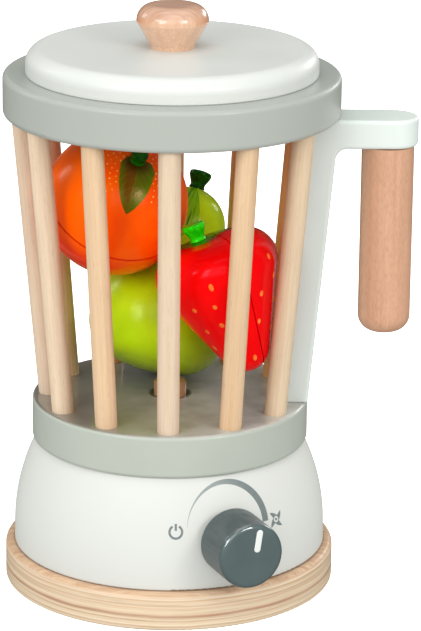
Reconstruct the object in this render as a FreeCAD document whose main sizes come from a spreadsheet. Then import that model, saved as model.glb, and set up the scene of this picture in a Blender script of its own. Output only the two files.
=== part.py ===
"""Toy blender of turned wood, dowels and plywood, with three pieces of play fruit in its jug.

Millimetres, +Z up. The origin is on the jug's axis, in the plane that the base stands on, and the
handle points along +X. Turned pieces are drawn as half outlines (radius, height) and revolved. A
piece that doesn't stand on the jug's axis is drawn at the origin and moved by its Placement.
"""

import FreeCAD
import Part
import Sketcher

import math
import os

DOCUMENT = FreeCAD.newDocument("ToyBlender")
SHEET = DOCUMENT.addObject("Spreadsheet::Sheet", "Sizes")
VECTOR = FreeCAD.Vector

# Places for rods on the cage circle; the handle's bar stands in the first of them.
CAGE_PLACES = 12
PLATE_SCREWS = 4

SIZES = {
    # Plywood base plate and the housing that stands on it
    "base_radius": 70.0,
    "base_thickness": 16.0,
    "base_top_round": 2.6,
    "base_foot_round": 1.0,
    "housing_foot_radius": 66.1,
    "housing_top_radius": 56.4,
    "housing_height": 46.1,
    "housing_upright": 7.0,
    "housing_foot_round": 0.8,
    "housing_top_round": 1.2,
    "cavity_radius": 50.0,
    "roof_thickness": 9.0,
    # Peg that the jug drops onto
    "peg_radius": 6.9,
    "peg_stand": 5.8,
    "peg_round": 0.8,
    # Dial on the housing
    "dial_azimuth": -66.5,
    "dial_level": 36.9,
    "dial_radius": 13.9,
    "dial_length": 20.9,
    "dial_front_round": 2.2,
    "dial_back_round": 0.6,
    "dial_standoff": 1.57,
    "dial_flat_depth": 0.93,
    "dial_axle_radius": 4.0,
    "dial_axle_depth": 12.0,
    "dial_spacer_radius": 8.0,
    "dial_washer_radius": 6.6,
    "dial_washer_thickness": 1.2,
    # Jug floor, cage of rods and top ring
    "floor_radius": 58.3,
    "floor_thickness": 17.9,
    "floor_round": 1.6,
    "rod_radius": 4.6,
    "rod_edge_foot": 7.25,
    "rod_edge_top": 7.85,
    "cage_height": 122.0,
    "floor_socket": 10.0,
    "ring_socket": 11.0,
    "ring_radius": 70.0,
    "ring_hole_radius": 54.0,
    "ring_thickness": 17.3,
    "ring_round": 2.2,
    # Handle board and grip
    "handle_thickness": 22.0,
    "handle_reach": 102.2,
    "arm_height": 12.2,
    "bar_foot_inset": 0.1,
    "bar_width": 13.0,
    "handle_fillet": 5.0,
    "handle_end_round": 10.8,
    "handle_edge_round": 1.6,
    "grip_edge": 12.5,
    "grip_radius": 10.95,
    "grip_length": 80.3,
    "grip_end_round": 7.0,
    "grip_dowel_radius": 5.0,
    "grip_dowel_length": 36.0,
    "grip_dowel_in_arm": 8.0,
    "ring_dowel_radius": 3.0,
    "ring_dowel_length": 24.0,
    "ring_dowel_in_ring": 10.0,
    "handle_pair_half": 5.5,
    # Lid
    "lid_radius": 60.6,
    "lid_thickness": 10.4,
    "lid_top_round": 6.2,
    "lid_foot_round": 0.6,
    "plug_thickness": 7.0,
    "plug_round": 1.0,
    "knob_foot_radius": 9.3,
    "knob_waist_radius": 9.7,
    "knob_waist_height": 1.5,
    "knob_wide_radius": 14.95,
    "knob_wide_height": 11.0,
    "knob_height": 18.1,
    "knob_lower_round": 1.8,
    "knob_upper_round": 6.6,
    # Wood screws and dowel fits
    "screw_radius": 2.0,
    "screw_point_radius": 0.5,
    "screw_head_radius": 4.0,
    "screw_head_height": 2.0,
    "screw_tip_length": 4.0,
    "screw_drive_radius": 1.4,
    "screw_drive_depth": 1.2,
    "screw_sink": 0.4,
    "plate_screw_length": 30.0,
    "foot_screw_length": 32.0,
    "knob_screw_length": 28.0,
    "dial_screw_length": 12.0,
    # Clearances
    "glue_gap": 0.1,
    "end_gap": 0.3,
    "bore_clearance": 0.08,
    "seam_gap": 0.2,
    "lid_clearance": 0.6,
    "peg_clearance": 0.6,
    "washer_gap": 0.15,
    # Orange
    "orange_x": -23.25,
    "orange_y": -1.8,
    "orange_z": 163.75,
    "orange_radius": 30.3,
    "orange_half_height": 30.5,
    "orange_lean": 41.0,
    "orange_lean_azimuth": -61.9,
    "orange_cut": 1.6,
    # Pear
    "pear_x": -5.2,
    "pear_y": 18.2,
    "pear_z": 107.3,
    "pear_body_radius": 29.85,
    "pear_foot_depth": 22.8,
    "pear_foot_radius": 58.0,
    "pear_heel_radius": 16.2,
    "pear_neck_radius": 40.0,
    "pear_lobe_radius": 16.9,
    "pear_lobe_height": 41.7,
    "pear_lean": 29.3,
    "pear_lean_azimuth": 57.4,
    "pear_cut": 27.0,
    # Strawberry
    "berry_x": 19.2,
    "berry_y": -19.4,
    "berry_z": 140.6,
    "berry_radius": 26.3,
    "berry_shoulder_radius": 12.8,
    "berry_crown": 1.2,
    "berry_tip_radius": 10.9,
    "berry_tip_drop": 34.2,
    "berry_lean": 20.9,
    "berry_lean_azimuth": 164.3,
    "berry_spin": -145.2,
    "berry_cut": 3.9,
    "berry_patch_drop": 10.0,
    "berry_stem_shift": 3.3,
    "berry_stem_sink": 0.3,
    # What the three fruits share
    "fruit_seam": 0.4,
    "patch_radius": 9.0,
    "patch_recess": 1.2,
    "patch_gap": 0.1,
    "stem_peg_radius": 2.5,
    "stem_peg_length": 8.0,
    "stem_foot_radius": 3.5,
    "stem_waist_radius": 3.0,
    "stem_waist_height": 1.4,
    "stem_waist_round": 1.4,
    "stem_lip_radius": 4.75,
    "stem_lip_thickness": 2.0,
    "stem_lip_round": 0.9,
    "stem_height": 7.2,
    "stem_seat_clearance": 0.4,
    "orange_stem_height": 4.4,
    "orange_stem_lip_radius": 3.6,
}

LEVELS = {
    "plate_screw_circle": "=(cavity_radius + housing_foot_radius) / 2",
    "peg_hole_radius": "=peg_radius + peg_clearance",
    "housing_top": "=base_thickness + housing_height",
    "housing_shoulder": "=base_thickness + housing_upright",
    "cavity_top": "=base_thickness + housing_height - roof_thickness",
    "wall_narrowing": "=housing_foot_radius - housing_top_radius",
    "wall_rise": "=housing_top - housing_shoulder",
    "wall_bend": "=(wall_narrowing ^ 2 + wall_rise ^ 2) / (2 * wall_narrowing)",
    "dial_rise": "=dial_level - housing_shoulder",
    "dial_wall_reach": "=housing_foot_radius - wall_bend + sqrt(wall_bend ^ 2 - dial_rise ^ 2)",
    "dial_back_reach": "=dial_wall_reach + dial_standoff",
    "dial_flat_reach": "=dial_wall_reach - dial_flat_depth",
    "floor_top": "=housing_top + floor_thickness",
    "ring_bottom": "=floor_top + cage_height",
    "ring_top": "=ring_bottom + ring_thickness",
    "lid_top": "=ring_top + lid_thickness",
    "plug_bottom": "=ring_top - plug_thickness",
    "plug_radius": "=ring_hole_radius - lid_clearance",
    "arm_bottom": "=ring_bottom - arm_height",
    "grip_top": "=arm_bottom - seam_gap",
    "peg_top": "=floor_top + peg_stand",
    "rod_circle_foot": "=floor_radius - rod_edge_foot",
    "rod_circle_top": "=ring_radius - rod_edge_top",
    "rod_lean": "=atan((rod_circle_top - rod_circle_foot) / cage_height)",
    "rod_length": "=cage_height / cos(rod_lean) + floor_socket + ring_socket",
    "rod_start_reach": "=rod_circle_foot - floor_socket * sin(rod_lean)",
    "rod_start_level": "=floor_top - floor_socket * cos(rod_lean)",
    "bar_foot_outer": "=floor_radius - bar_foot_inset",
    "bar_foot_inner": "=bar_foot_outer - bar_width",
    "foot_screw_reach": "=bar_foot_outer - bar_width / 2",
    "ring_dowel_reach": "=(ring_hole_radius + ring_radius) / 2",
    "grip_centre": "=handle_reach - grip_edge",
    "bar_foot_level": "=floor_top + seam_gap",
    "bar_top_inner": "=bar_foot_inner + (ring_bottom - bar_foot_level) * tan(rod_lean)",
    "bar_arm_outer": "=bar_foot_outer + (arm_bottom - bar_foot_level) * tan(rod_lean)",
    "spacer_thickness": "=dial_back_reach - dial_flat_reach - washer_gap",
    "dial_front_reach": "=dial_back_reach + dial_length",
    "axle_inner_reach": "=sqrt(cavity_radius ^ 2 - dial_washer_radius ^ 2) - washer_gap",
    "axle_length": "=dial_back_reach + dial_axle_depth - axle_inner_reach",
    "berry_shoulder_reach": "=berry_radius - berry_shoulder_radius",
    "berry_top": "=berry_shoulder_radius + berry_crown",
    "berry_seat": "=berry_top - berry_stem_sink",
    "stem_lip_level": "=stem_height - stem_lip_thickness",
    "orange_stem_lip_level": "=orange_stem_height - stem_lip_thickness",
    "pear_top": "=pear_lobe_height + pear_lobe_radius",
    "patch_thickness": "=patch_recess + fruit_seam / 2 - patch_gap / 2",
}

PIECES = []


def fill_sheet():
    """One row per size: its name, its value and the alias that the pieces are bound to."""
    for row, (alias, value) in enumerate(list(SIZES.items()) + list(LEVELS.items()), start=1):
        SHEET.set(f"A{row}", alias.replace("_", " "))
        SHEET.set(f"B{row}", str(value))
        SHEET.setAlias(f"B{row}", alias)
    DOCUMENT.recompute()


def size(alias):
    """The number in a cell, or zero for a point on the axis."""
    if alias is None:
        return 0.0
    value = SHEET.get(alias)
    return float(getattr(value, "Value", value))


def bind(thing, **formulas):
    """Ties each property of an object to a formula over the sheet."""
    for name, formula in formulas.items():
        thing.setExpression(name, formula)
    return thing


def keep(thing, label):
    """Names an object as a piece of the toy, to be written to a file."""
    thing.Label = label
    PIECES.append(thing)
    return thing


def origin_plane(body, role):
    planes = [feature for feature in body.Origin.OriginFeatures if feature.Role == role]
    return planes[0]


def new_sketch(body, name):
    """A sketch in the body's own XZ plane: across is the radius, up is the height."""
    sketch = body.newObject("Sketcher::SketchObject", name)
    sketch.AttachmentSupport = [(origin_plane(body, "XZ_Plane"), "")]
    sketch.MapMode = "FlatFace"
    return sketch


def fix_point(sketch, geometry, end, radius, height):
    """Holds an end of a line or an arc at a radius and a height of the sheet."""
    for kind, alias, lock in (("DistanceX", radius, -2), ("DistanceY", height, -1)):
        if alias is None:
            sketch.addConstraint(Sketcher.Constraint("PointOnObject", geometry, end, lock))
            continue
        number = sketch.addConstraint(Sketcher.Constraint(kind, -1, 1, geometry, end, size(alias)))
        sketch.setExpression(f"Constraints[{number}]", f"Sizes.{alias}")


def fix_radius(sketch, arc, alias):
    number = sketch.addConstraint(Sketcher.Constraint("Radius", arc, size(alias)))
    sketch.setExpression(f"Constraints[{number}]", f"Sizes.{alias}")


def closed_outline(sketch, corners):
    """Straight sides through corners given as (radius, height) names of the sheet."""
    points = [VECTOR(size(radius), size(height), 0) for radius, height in corners]
    ends = points[1:] + points[:1]
    sketch.addGeometry([Part.LineSegment(a, b) for a, b in zip(points, ends)], False)
    count = len(corners)
    for side in range(count):
        sketch.addConstraint(Sketcher.Constraint("Coincident", side, 2, (side + 1) % count, 1))
    for side, (radius, height) in enumerate(corners):
        fix_point(sketch, side, 1, radius, height)


def revolve(body, sketch):
    """Turns a half outline into a solid about the body's Z axis."""
    turn = body.newObject("PartDesign::Revolution", f"{sketch.Name}Turned")
    turn.Profile = sketch
    turn.ReferenceAxis = (sketch, ["V_Axis"])
    turn.Angle = 360.0
    DOCUMENT.recompute()
    return turn


def circle_edges(shape, radius, height):
    """Names of the level circular edges at a radius and height."""
    names = []
    for number, edge in enumerate(shape.Edges, start=1):
        curve = edge.Curve
        if not isinstance(curve, Part.Circle):
            continue
        if abs(curve.Radius - radius) < 1e-4 and abs(edge.CenterOfMass.z - height) < 1e-3:
            names.append(f"Edge{number}")
    return names


def round_edges(body, names, alias, title):
    """Rounds named edges of the body's last feature with a radius of the sheet."""
    base = body.Tip
    fillet = body.newObject("PartDesign::Fillet", title)
    fillet.Base = (base, names)
    fillet.setExpression("Radius", f"Sizes.{alias}")
    DOCUMENT.recompute()


def turned(name, corners, rounds=()):
    """A turned piece: its outline's corners and the rounding of some of its edges."""
    body = DOCUMENT.addObject("PartDesign::Body", name)
    sketch = new_sketch(body, f"{name}Outline")
    closed_outline(sketch, corners)
    revolve(body, sketch)
    for number, (radius, height, alias) in enumerate(rounds, start=1):
        names = circle_edges(body.Tip.Shape, size(radius), size(height))
        round_edges(body, names, alias, f"{name}Round{number}")
    return body


def cylinder(name, radius, height, placement=None):
    """A plain cylinder whose radius, height and placement are formulas over the sheet."""
    rod = bind(DOCUMENT.addObject("Part::Cylinder", name), Radius=radius, Height=height)
    if placement:
        rod.setExpression("Placement", placement)
    return rod


def group(name, members):
    together = DOCUMENT.addObject("Part::Compound", name)
    together.Links = members
    return together


def cut(name, blank, tools):
    """A blank with holes, flats or recesses cut by several tools."""
    piece = DOCUMENT.addObject("Part::Cut", name)
    piece.Base = blank
    piece.Tool = group(f"{name}Tools", tools)
    return piece


def place(x="0", y="0", z="0", spin="0", tilt="0", twist="0"):
    """Text of a placement: moved to x, y, z after turns about Z, then the new Y, then the new Z."""
    turns = (
        f"rotation(vector(0; 0; 1); {spin})",
        f"rotation(vector(0; 1; 0); {tilt})",
        f"rotation(vector(0; 0; 1); {twist})",
    )
    return f"placement(vector({x}; {y}; {z}); {' * '.join(turns)})"


def around(angle, x, z, tilt="0"):
    """Text of a placement at radius x and height z, turned about the jug's axis by an angle."""
    return f"{place(spin=str(angle))} * {place(x=x, z=z, tilt=tilt)}"


# Screws


def screw(name, length, placement, clearance="0"):
    """A countersunk wood screw, head down at the origin, with a plain drive recess."""
    shank = f"Sizes.screw_radius + {clearance}"
    tip_start = f"Sizes.{length} - Sizes.screw_tip_length"
    head = bind(
        DOCUMENT.addObject("Part::Cone", f"{name}Head"),
        Radius1=f"Sizes.screw_head_radius + {clearance}",
        Radius2=shank,
        Height="Sizes.screw_head_height",
    )
    stem = cylinder(f"{name}Shank", shank, tip_start)
    tip = bind(
        DOCUMENT.addObject("Part::Cone", f"{name}Tip"),
        Radius1=shank,
        Radius2=f"Sizes.screw_point_radius + {clearance}",
        Height="Sizes.screw_tip_length",
    )
    tip.setExpression("Placement", place(z=tip_start))
    whole = DOCUMENT.addObject("Part::MultiFuse", f"{name}Whole")
    whole.Shapes = [head, stem, tip]
    if clearance == "0":
        drive = cylinder(f"{name}Drive", "Sizes.screw_drive_radius", "Sizes.screw_drive_depth")
        whole = cut(name, whole, [drive])
    whole.setExpression("Placement", placement)
    return whole


def screw_hole(name, length, placement, below):
    """Room for a screw: its own shape with clearance, and the sink under its head."""
    sink = cylinder(
        f"{name}Sink",
        "Sizes.screw_head_radius + Sizes.glue_gap",
        "Sizes.screw_sink",
        f"{placement} * {place(z='-' + below)}",
    )
    return [screw(f"{name}Room", length, placement, "Sizes.glue_gap"), sink]


# Base


def plate_screw_places():
    step = 360 / PLATE_SCREWS
    angles = [step * (number + 0.5) for number in range(PLATE_SCREWS)]
    return [around(angle, "Sizes.plate_screw_circle", "Sizes.screw_sink") for angle in angles]


def plate_screw_room():
    tools = []
    for number, spot in enumerate(plate_screw_places(), start=1):
        tools += screw_hole(f"PlateScrew{number}", "plate_screw_length", spot, "Sizes.screw_sink")
    return tools


def build_base_plate(room):
    blank = turned(
        "PlateBlank",
        [(None, None), ("base_radius", None), ("base_radius", "base_thickness"), (None, "base_thickness")],
        [("base_radius", "base_thickness", "base_top_round"), ("base_radius", None, "base_foot_round")],
    )
    keep(cut("BasePlate", blank, room), "base_plate")
    screws = [
        screw(f"PlateScrewSolid{number}", "plate_screw_length", spot)
        for number, spot in enumerate(plate_screw_places(), start=1)
    ]
    keep(group("PlateScrews", screws), "plate_screws")


def housing_outline(sketch):
    """Upright foot, then an arc that leaves it tangentially and ends at the top's edge."""
    foot = size("housing_foot_radius")
    top = size("housing_top_radius")
    start = size("housing_shoulder")
    rise = size("wall_rise")
    bend = size("wall_bend")
    centre = VECTOR(foot - bend, start, 0)
    arc = Part.ArcOfCircle(Part.Circle(centre, VECTOR(0, 0, 1), bend), 0, math.asin(rise / bend))
    levels = [size(name) for name in ("base_thickness", "cavity_top", "housing_top")]
    cavity = size("cavity_radius")
    sketch.addGeometry(
        [
            Part.LineSegment(VECTOR(cavity, levels[0], 0), VECTOR(foot, levels[0], 0)),
            Part.LineSegment(VECTOR(foot, levels[0], 0), VECTOR(foot, start, 0)),
            arc,
            Part.LineSegment(VECTOR(top, levels[2], 0), VECTOR(0, levels[2], 0)),
            Part.LineSegment(VECTOR(0, levels[2], 0), VECTOR(0, levels[1], 0)),
            Part.LineSegment(VECTOR(0, levels[1], 0), VECTOR(cavity, levels[1], 0)),
            Part.LineSegment(VECTOR(cavity, levels[1], 0), VECTOR(cavity, levels[0], 0)),
        ],
        False,
    )
    sketch.addConstraint(Sketcher.Constraint("Coincident", 0, 2, 1, 1))
    sketch.addConstraint(Sketcher.Constraint("Tangent", 1, 2, 2, 1))
    for side in range(2, 7):
        sketch.addConstraint(Sketcher.Constraint("Coincident", side, 2, (side + 1) % 7, 1))
    fix_point(sketch, 0, 1, "cavity_radius", "base_thickness")
    fix_point(sketch, 1, 1, "housing_foot_radius", "base_thickness")
    fix_point(sketch, 1, 2, "housing_foot_radius", "housing_shoulder")
    fix_point(sketch, 3, 1, "housing_top_radius", "housing_top")
    fix_point(sketch, 4, 1, None, "housing_top")
    fix_point(sketch, 5, 1, None, "cavity_top")
    fix_point(sketch, 6, 1, "cavity_radius", "cavity_top")


def build_housing(room):
    """Hollow turned housing with a peg hole, the dial's bore and flat, and screw pilots."""
    body = DOCUMENT.addObject("PartDesign::Body", "HousingBlank")
    sketch = new_sketch(body, "HousingOutline")
    housing_outline(sketch)
    revolve(body, sketch)
    edges = circle_edges(body.Tip.Shape, size("housing_foot_radius"), size("base_thickness"))
    round_edges(body, edges, "housing_foot_round", "HousingFootRound")
    edges = circle_edges(body.Tip.Shape, size("housing_top_radius"), size("housing_top"))
    round_edges(body, edges, "housing_top_round", "HousingTopRound")
    peg_hole = cylinder(
        "RoofPegHole",
        "Sizes.peg_radius + Sizes.glue_gap",
        "Sizes.roof_thickness",
        place(z="Sizes.cavity_top"),
    )
    bore = cylinder(
        "DialBore", "Sizes.dial_axle_radius + Sizes.bore_clearance", "Sizes.dial_back_reach", dial_place("0")
    )
    flat = cylinder(
        "DialFlat",
        "Sizes.dial_spacer_radius + Sizes.glue_gap",
        "Sizes.dial_flat_depth + Sizes.dial_standoff",
        dial_place("Sizes.dial_flat_reach"),
    )
    keep(cut("Housing", body, [peg_hole, bore, flat] + room), "housing")


def build_peg():
    peg = turned(
        "Peg",
        [(None, "cavity_top"), ("peg_radius", "cavity_top"), ("peg_radius", "peg_top"), (None, "peg_top")],
        [("peg_radius", "peg_top", "peg_round")],
    )
    keep(peg, "locating_peg")


# Dial


def dial_place(reach):
    """Text of a placement on the dial's level axis, with Z pointing out of the housing."""
    turn = place(z="Sizes.dial_level", spin="Sizes.dial_azimuth", tilt="90")
    return f"{turn} * {place(z=reach)}"


def dial_ring(name, radius, thickness, reach):
    """A flat washer round the dial's axle."""
    disc = cylinder(f"{name}Disc", radius, thickness)
    hole = cylinder(f"{name}Hole", "Sizes.dial_axle_radius + Sizes.bore_clearance", thickness)
    ring = cut(name, disc, [hole])
    ring.setExpression("Placement", dial_place(reach))
    return ring


def build_dial():
    """Knob, its axle through the housing wall, the spacer outside and what holds it inside."""
    blank = turned(
        "DialBlank",
        [(None, None), ("dial_radius", None), ("dial_radius", "dial_length"), (None, "dial_length")],
        [("dial_radius", "dial_length", "dial_front_round"), ("dial_radius", None, "dial_back_round")],
    )
    socket = cylinder(
        "DialSocket", "Sizes.dial_axle_radius + Sizes.glue_gap", "Sizes.dial_axle_depth + Sizes.end_gap"
    )
    knob = cut("DialKnob", blank, [socket])
    knob.setExpression("Placement", dial_place("Sizes.dial_back_reach"))
    keep(knob, "dial_knob")
    rod = cylinder("DialAxleRod", "Sizes.dial_axle_radius", "Sizes.axle_length")
    pilot = screw("DialPilot", "dial_screw_length", place(z="-Sizes.screw_head_height"), "Sizes.glue_gap")
    axle = cut("DialAxle", rod, [pilot])
    axle.setExpression("Placement", dial_place("Sizes.axle_inner_reach"))
    keep(axle, "dial_axle")
    spacer = dial_ring(
        "DialSpacer",
        "Sizes.dial_spacer_radius",
        "Sizes.spacer_thickness",
        "Sizes.dial_flat_reach",
    )
    keep(spacer, "dial_spacer")
    keep(build_dial_washer(), "dial_washer")
    head = dial_place("Sizes.axle_inner_reach - Sizes.screw_head_height")
    keep(screw("DialScrew", "dial_screw_length", head), "dial_screw")


def build_dial_washer():
    """Washer under the screw's head, wider than the bore, that keeps the axle in."""
    disc = cylinder("DialWasherDisc", "Sizes.dial_washer_radius", "Sizes.dial_washer_thickness")
    hole = screw("DialWasherRoom", "dial_screw_length", place(), "Sizes.glue_gap")
    washer = cut("DialWasher", disc, [hole])
    washer.setExpression("Placement", dial_place("Sizes.axle_inner_reach - Sizes.dial_washer_thickness"))
    return washer


# Jug


def rod_angles():
    step = 360 / CAGE_PLACES
    return [step * number for number in range(1, CAGE_PLACES)]


def rod_tools():
    """Rooms for the rods' ends: each runs a little past its rod at both ends."""
    tools = []
    for number, angle in enumerate(rod_angles(), start=1):
        spot = around(angle, "Sizes.rod_start_reach", "Sizes.rod_start_level", "Sizes.rod_lean")
        tools.append(
            cylinder(
                f"RodRoom{number}",
                "Sizes.rod_radius + Sizes.glue_gap",
                "Sizes.rod_length + 2 * Sizes.end_gap",
                f"{spot} * {place(z='-Sizes.end_gap')}",
            )
        )
    return tools


def build_rods():
    for number, angle in enumerate(rod_angles(), start=1):
        spot = around(angle, "Sizes.rod_start_reach", "Sizes.rod_start_level", "Sizes.rod_lean")
        rod = cylinder(f"Rod{number}", "Sizes.rod_radius", "Sizes.rod_length", spot)
        keep(rod, f"rod_{number:02d}")


def foot_screw_places():
    return [
        place(
            x="Sizes.foot_screw_reach",
            y=f"{side} * Sizes.handle_pair_half",
            z="Sizes.housing_top + Sizes.screw_sink",
        )
        for side in (-1, 1)
    ]


def foot_screw_room():
    tools = []
    for number, spot in enumerate(foot_screw_places(), start=1):
        tools += screw_hole(f"FootScrew{number}", "foot_screw_length", spot, "Sizes.screw_sink")
    return tools


def ring_dowel(name, gap, overrun):
    """A pair of dowels between the handle board and the ring, or the holes for them."""
    pair = []
    for side in (-1, 1):
        spot = place(
            x="Sizes.ring_dowel_reach",
            y=f"{side} * Sizes.handle_pair_half",
            z=f"Sizes.ring_bottom + Sizes.ring_dowel_in_ring - Sizes.ring_dowel_length - {overrun}",
        )
        radius = f"Sizes.ring_dowel_radius + {gap}"
        length = f"Sizes.ring_dowel_length + 2 * {overrun}"
        pair.append(cylinder(f"{name}{'Left' if side < 0 else 'Right'}", radius, length, spot))
    return pair


def build_floor(rods, screws):
    blank = turned(
        "FloorBlank",
        [
            ("peg_hole_radius", "housing_top"),
            ("floor_radius", "housing_top"),
            ("floor_radius", "floor_top"),
            ("peg_hole_radius", "floor_top"),
        ],
        [("floor_radius", "floor_top", "floor_round"), ("floor_radius", "housing_top", "floor_round")],
    )
    keep(cut("JugFloor", blank, rods + screws), "jug_floor")


def build_ring(rods, dowels):
    blank = turned(
        "RingBlank",
        [
            ("ring_hole_radius", "ring_bottom"),
            ("ring_radius", "ring_bottom"),
            ("ring_radius", "ring_top"),
            ("ring_hole_radius", "ring_top"),
        ],
        [("ring_radius", "ring_top", "ring_round"), ("ring_radius", "ring_bottom", "ring_round")],
    )
    keep(cut("TopRing", blank, rods + dowels), "top_ring")


# Handle


def edges_where(shape, test):
    """Names of the edges whose two ends both pass a test."""
    return [
        f"Edge{number}"
        for number, edge in enumerate(shape.Edges, start=1)
        if all(test(vertex.Point) for vertex in edge.Vertexes)
    ]


def build_handle(dowels, screws):
    """A board with an arm under the ring and a bar that leans with the rods."""
    body = DOCUMENT.addObject("PartDesign::Body", "HandleBlank")
    sketch = new_sketch(body, "HandleOutline")
    corners = [
        ("bar_foot_inner", "bar_foot_level"),
        ("bar_foot_outer", "bar_foot_level"),
        ("bar_arm_outer", "arm_bottom"),
        ("handle_reach", "arm_bottom"),
        ("handle_reach", "ring_bottom"),
        ("bar_top_inner", "ring_bottom"),
    ]
    closed_outline(sketch, corners)
    board = body.newObject("PartDesign::Pad", "HandleBoard")
    board.Profile = sketch
    board.Midplane = True
    board.setExpression("Length", "Sizes.handle_thickness")
    DOCUMENT.recompute()
    reach = size("handle_reach")
    inner = size("bar_arm_outer")
    under = size("arm_bottom")
    foot = size("bar_foot_level")
    side = size("handle_thickness") / 2
    names = edges_where(board.Shape, lambda p: abs(p.x - reach) < 1e-3 and abs(abs(p.y) - side) < 1e-3)
    upright = [name for name in names if board.Shape.getElement(name).BoundBox.ZLength > 1]
    round_edges(body, upright, "handle_end_round", "HandleEndRound")
    shape = body.Tip.Shape
    names = edges_where(shape, lambda p: abs(p.x - inner) < 1e-3 and abs(p.z - under) < 1e-3)
    round_edges(body, names, "handle_fillet", "HandleInnerRound")
    shape = body.Tip.Shape
    names = [
        f"Edge{number}"
        for number, edge in enumerate(shape.Edges, start=1)
        if abs(abs(edge.CenterOfMass.y) - side) < 1e-3 and edge.BoundBox.YLength < 1e-3
        and edge.CenterOfMass.z > foot + 1
    ]
    round_edges(body, names, "handle_edge_round", "HandleEdgeRound")
    socket = cylinder(
        "ArmDowelHole",
        "Sizes.grip_dowel_radius + Sizes.glue_gap",
        "Sizes.grip_dowel_in_arm + Sizes.end_gap",
        place(x="Sizes.grip_centre", z="Sizes.arm_bottom"),
    )
    keep(cut("HandleFrame", body, [socket] + dowels + screws), "handle_frame")


def build_grip():
    """A turned grip that hangs from the arm on a dowel."""
    body = turned(
        "GripBlank",
        [(None, None), ("grip_radius", None), ("grip_radius", "grip_length"), (None, "grip_length")],
        [("grip_radius", None, "grip_end_round")],
    )
    drop = "Sizes.grip_dowel_length - Sizes.grip_dowel_in_arm"
    hole = cylinder(
        "GripDowelHole",
        "Sizes.grip_dowel_radius + Sizes.glue_gap",
        f"{drop} + Sizes.end_gap",
        place(z=f"Sizes.grip_length - ({drop}) - Sizes.end_gap"),
    )
    grip = cut("Grip", body, [hole])
    grip.setExpression("Placement", place(x="Sizes.grip_centre", z="Sizes.grip_top - Sizes.grip_length"))
    keep(grip, "handle_grip")
    dowel = cylinder(
        "GripDowel",
        "Sizes.grip_dowel_radius",
        "Sizes.grip_dowel_length",
        place(x="Sizes.grip_centre", z=f"Sizes.grip_top - ({drop})"),
    )
    keep(dowel, "grip_dowel")


def build_handle_fasteners():
    keep(group("RingDowels", ring_dowel("RingDowel", "0", "0")), "ring_dowels")
    screws = [
        screw(f"FootScrewSolid{number}", "foot_screw_length", spot)
        for number, spot in enumerate(foot_screw_places(), start=1)
    ]
    keep(group("FootScrews", screws), "foot_screws")


# Lid


def build_lid():
    spot = place(z="Sizes.plug_bottom + Sizes.screw_sink")
    room = screw_hole("KnobScrew", "knob_screw_length", spot, "Sizes.screw_sink")
    disc = turned(
        "LidBlank",
        [(None, "ring_top"), ("lid_radius", "ring_top"), ("lid_radius", "lid_top"), (None, "lid_top")],
        [("lid_radius", "lid_top", "lid_top_round"), ("lid_radius", "ring_top", "lid_foot_round")],
    )
    keep(cut("LidDisc", disc, room), "lid_disc")
    plug = turned(
        "PlugBlank",
        [
            (None, "plug_bottom"),
            ("plug_radius", "plug_bottom"),
            ("plug_radius", "ring_top"),
            (None, "ring_top"),
        ],
        [("plug_radius", "plug_bottom", "plug_round")],
    )
    keep(cut("LidPlug", plug, room), "lid_plug")
    knob = turned(
        "KnobBlank",
        [
            (None, None),
            ("knob_foot_radius", None),
            ("knob_waist_radius", "knob_waist_height"),
            ("knob_wide_radius", "knob_wide_height"),
            ("knob_wide_radius", "knob_height"),
            (None, "knob_height"),
        ],
        [
            ("knob_wide_radius", "knob_wide_height", "knob_lower_round"),
            ("knob_wide_radius", "knob_height", "knob_upper_round"),
        ],
    )
    drop = "Sizes.lid_top - Sizes.plug_bottom - Sizes.screw_sink"
    pilot = screw("KnobPilot", "knob_screw_length", place(z=f"-({drop})"), "Sizes.glue_gap")
    top = cut("LidKnob", knob, [pilot])
    top.setExpression("Placement", place(z="Sizes.lid_top"))
    keep(top, "lid_knob")
    keep(screw("LidScrew", "knob_screw_length", spot), "lid_screw")


# Play fruit


def fruit_place(fruit):
    """Text of a fruit's placement: its centre, and its own Z axis leaning to one side.

    Only the strawberry isn't the same all round, so it alone is spun about its own axis.
    """
    return place(
        x=f"Sizes.{fruit}_x",
        y=f"Sizes.{fruit}_y",
        z=f"Sizes.{fruit}_z",
        spin=f"Sizes.{fruit}_lean_azimuth",
        tilt=f"Sizes.{fruit}_lean",
        twist="Sizes.berry_spin" if fruit == "berry" else "0",
    )


def orange_blank():
    blank = DOCUMENT.addObject("Part::Ellipsoid", "OrangeBlank")
    return bind(
        blank,
        Radius1="Sizes.orange_half_height",
        Radius2="Sizes.orange_radius",
        Radius3="Sizes.orange_radius",
    )


def arc_points(centre, radius, start, end):
    """An arc about a centre between two angles in degrees, anticlockwise."""
    circle = Part.Circle(VECTOR(centre[0], centre[1], 0), VECTOR(0, 0, 1), radius)
    return Part.ArcOfCircle(circle, math.radians(start), math.radians(end))


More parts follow.
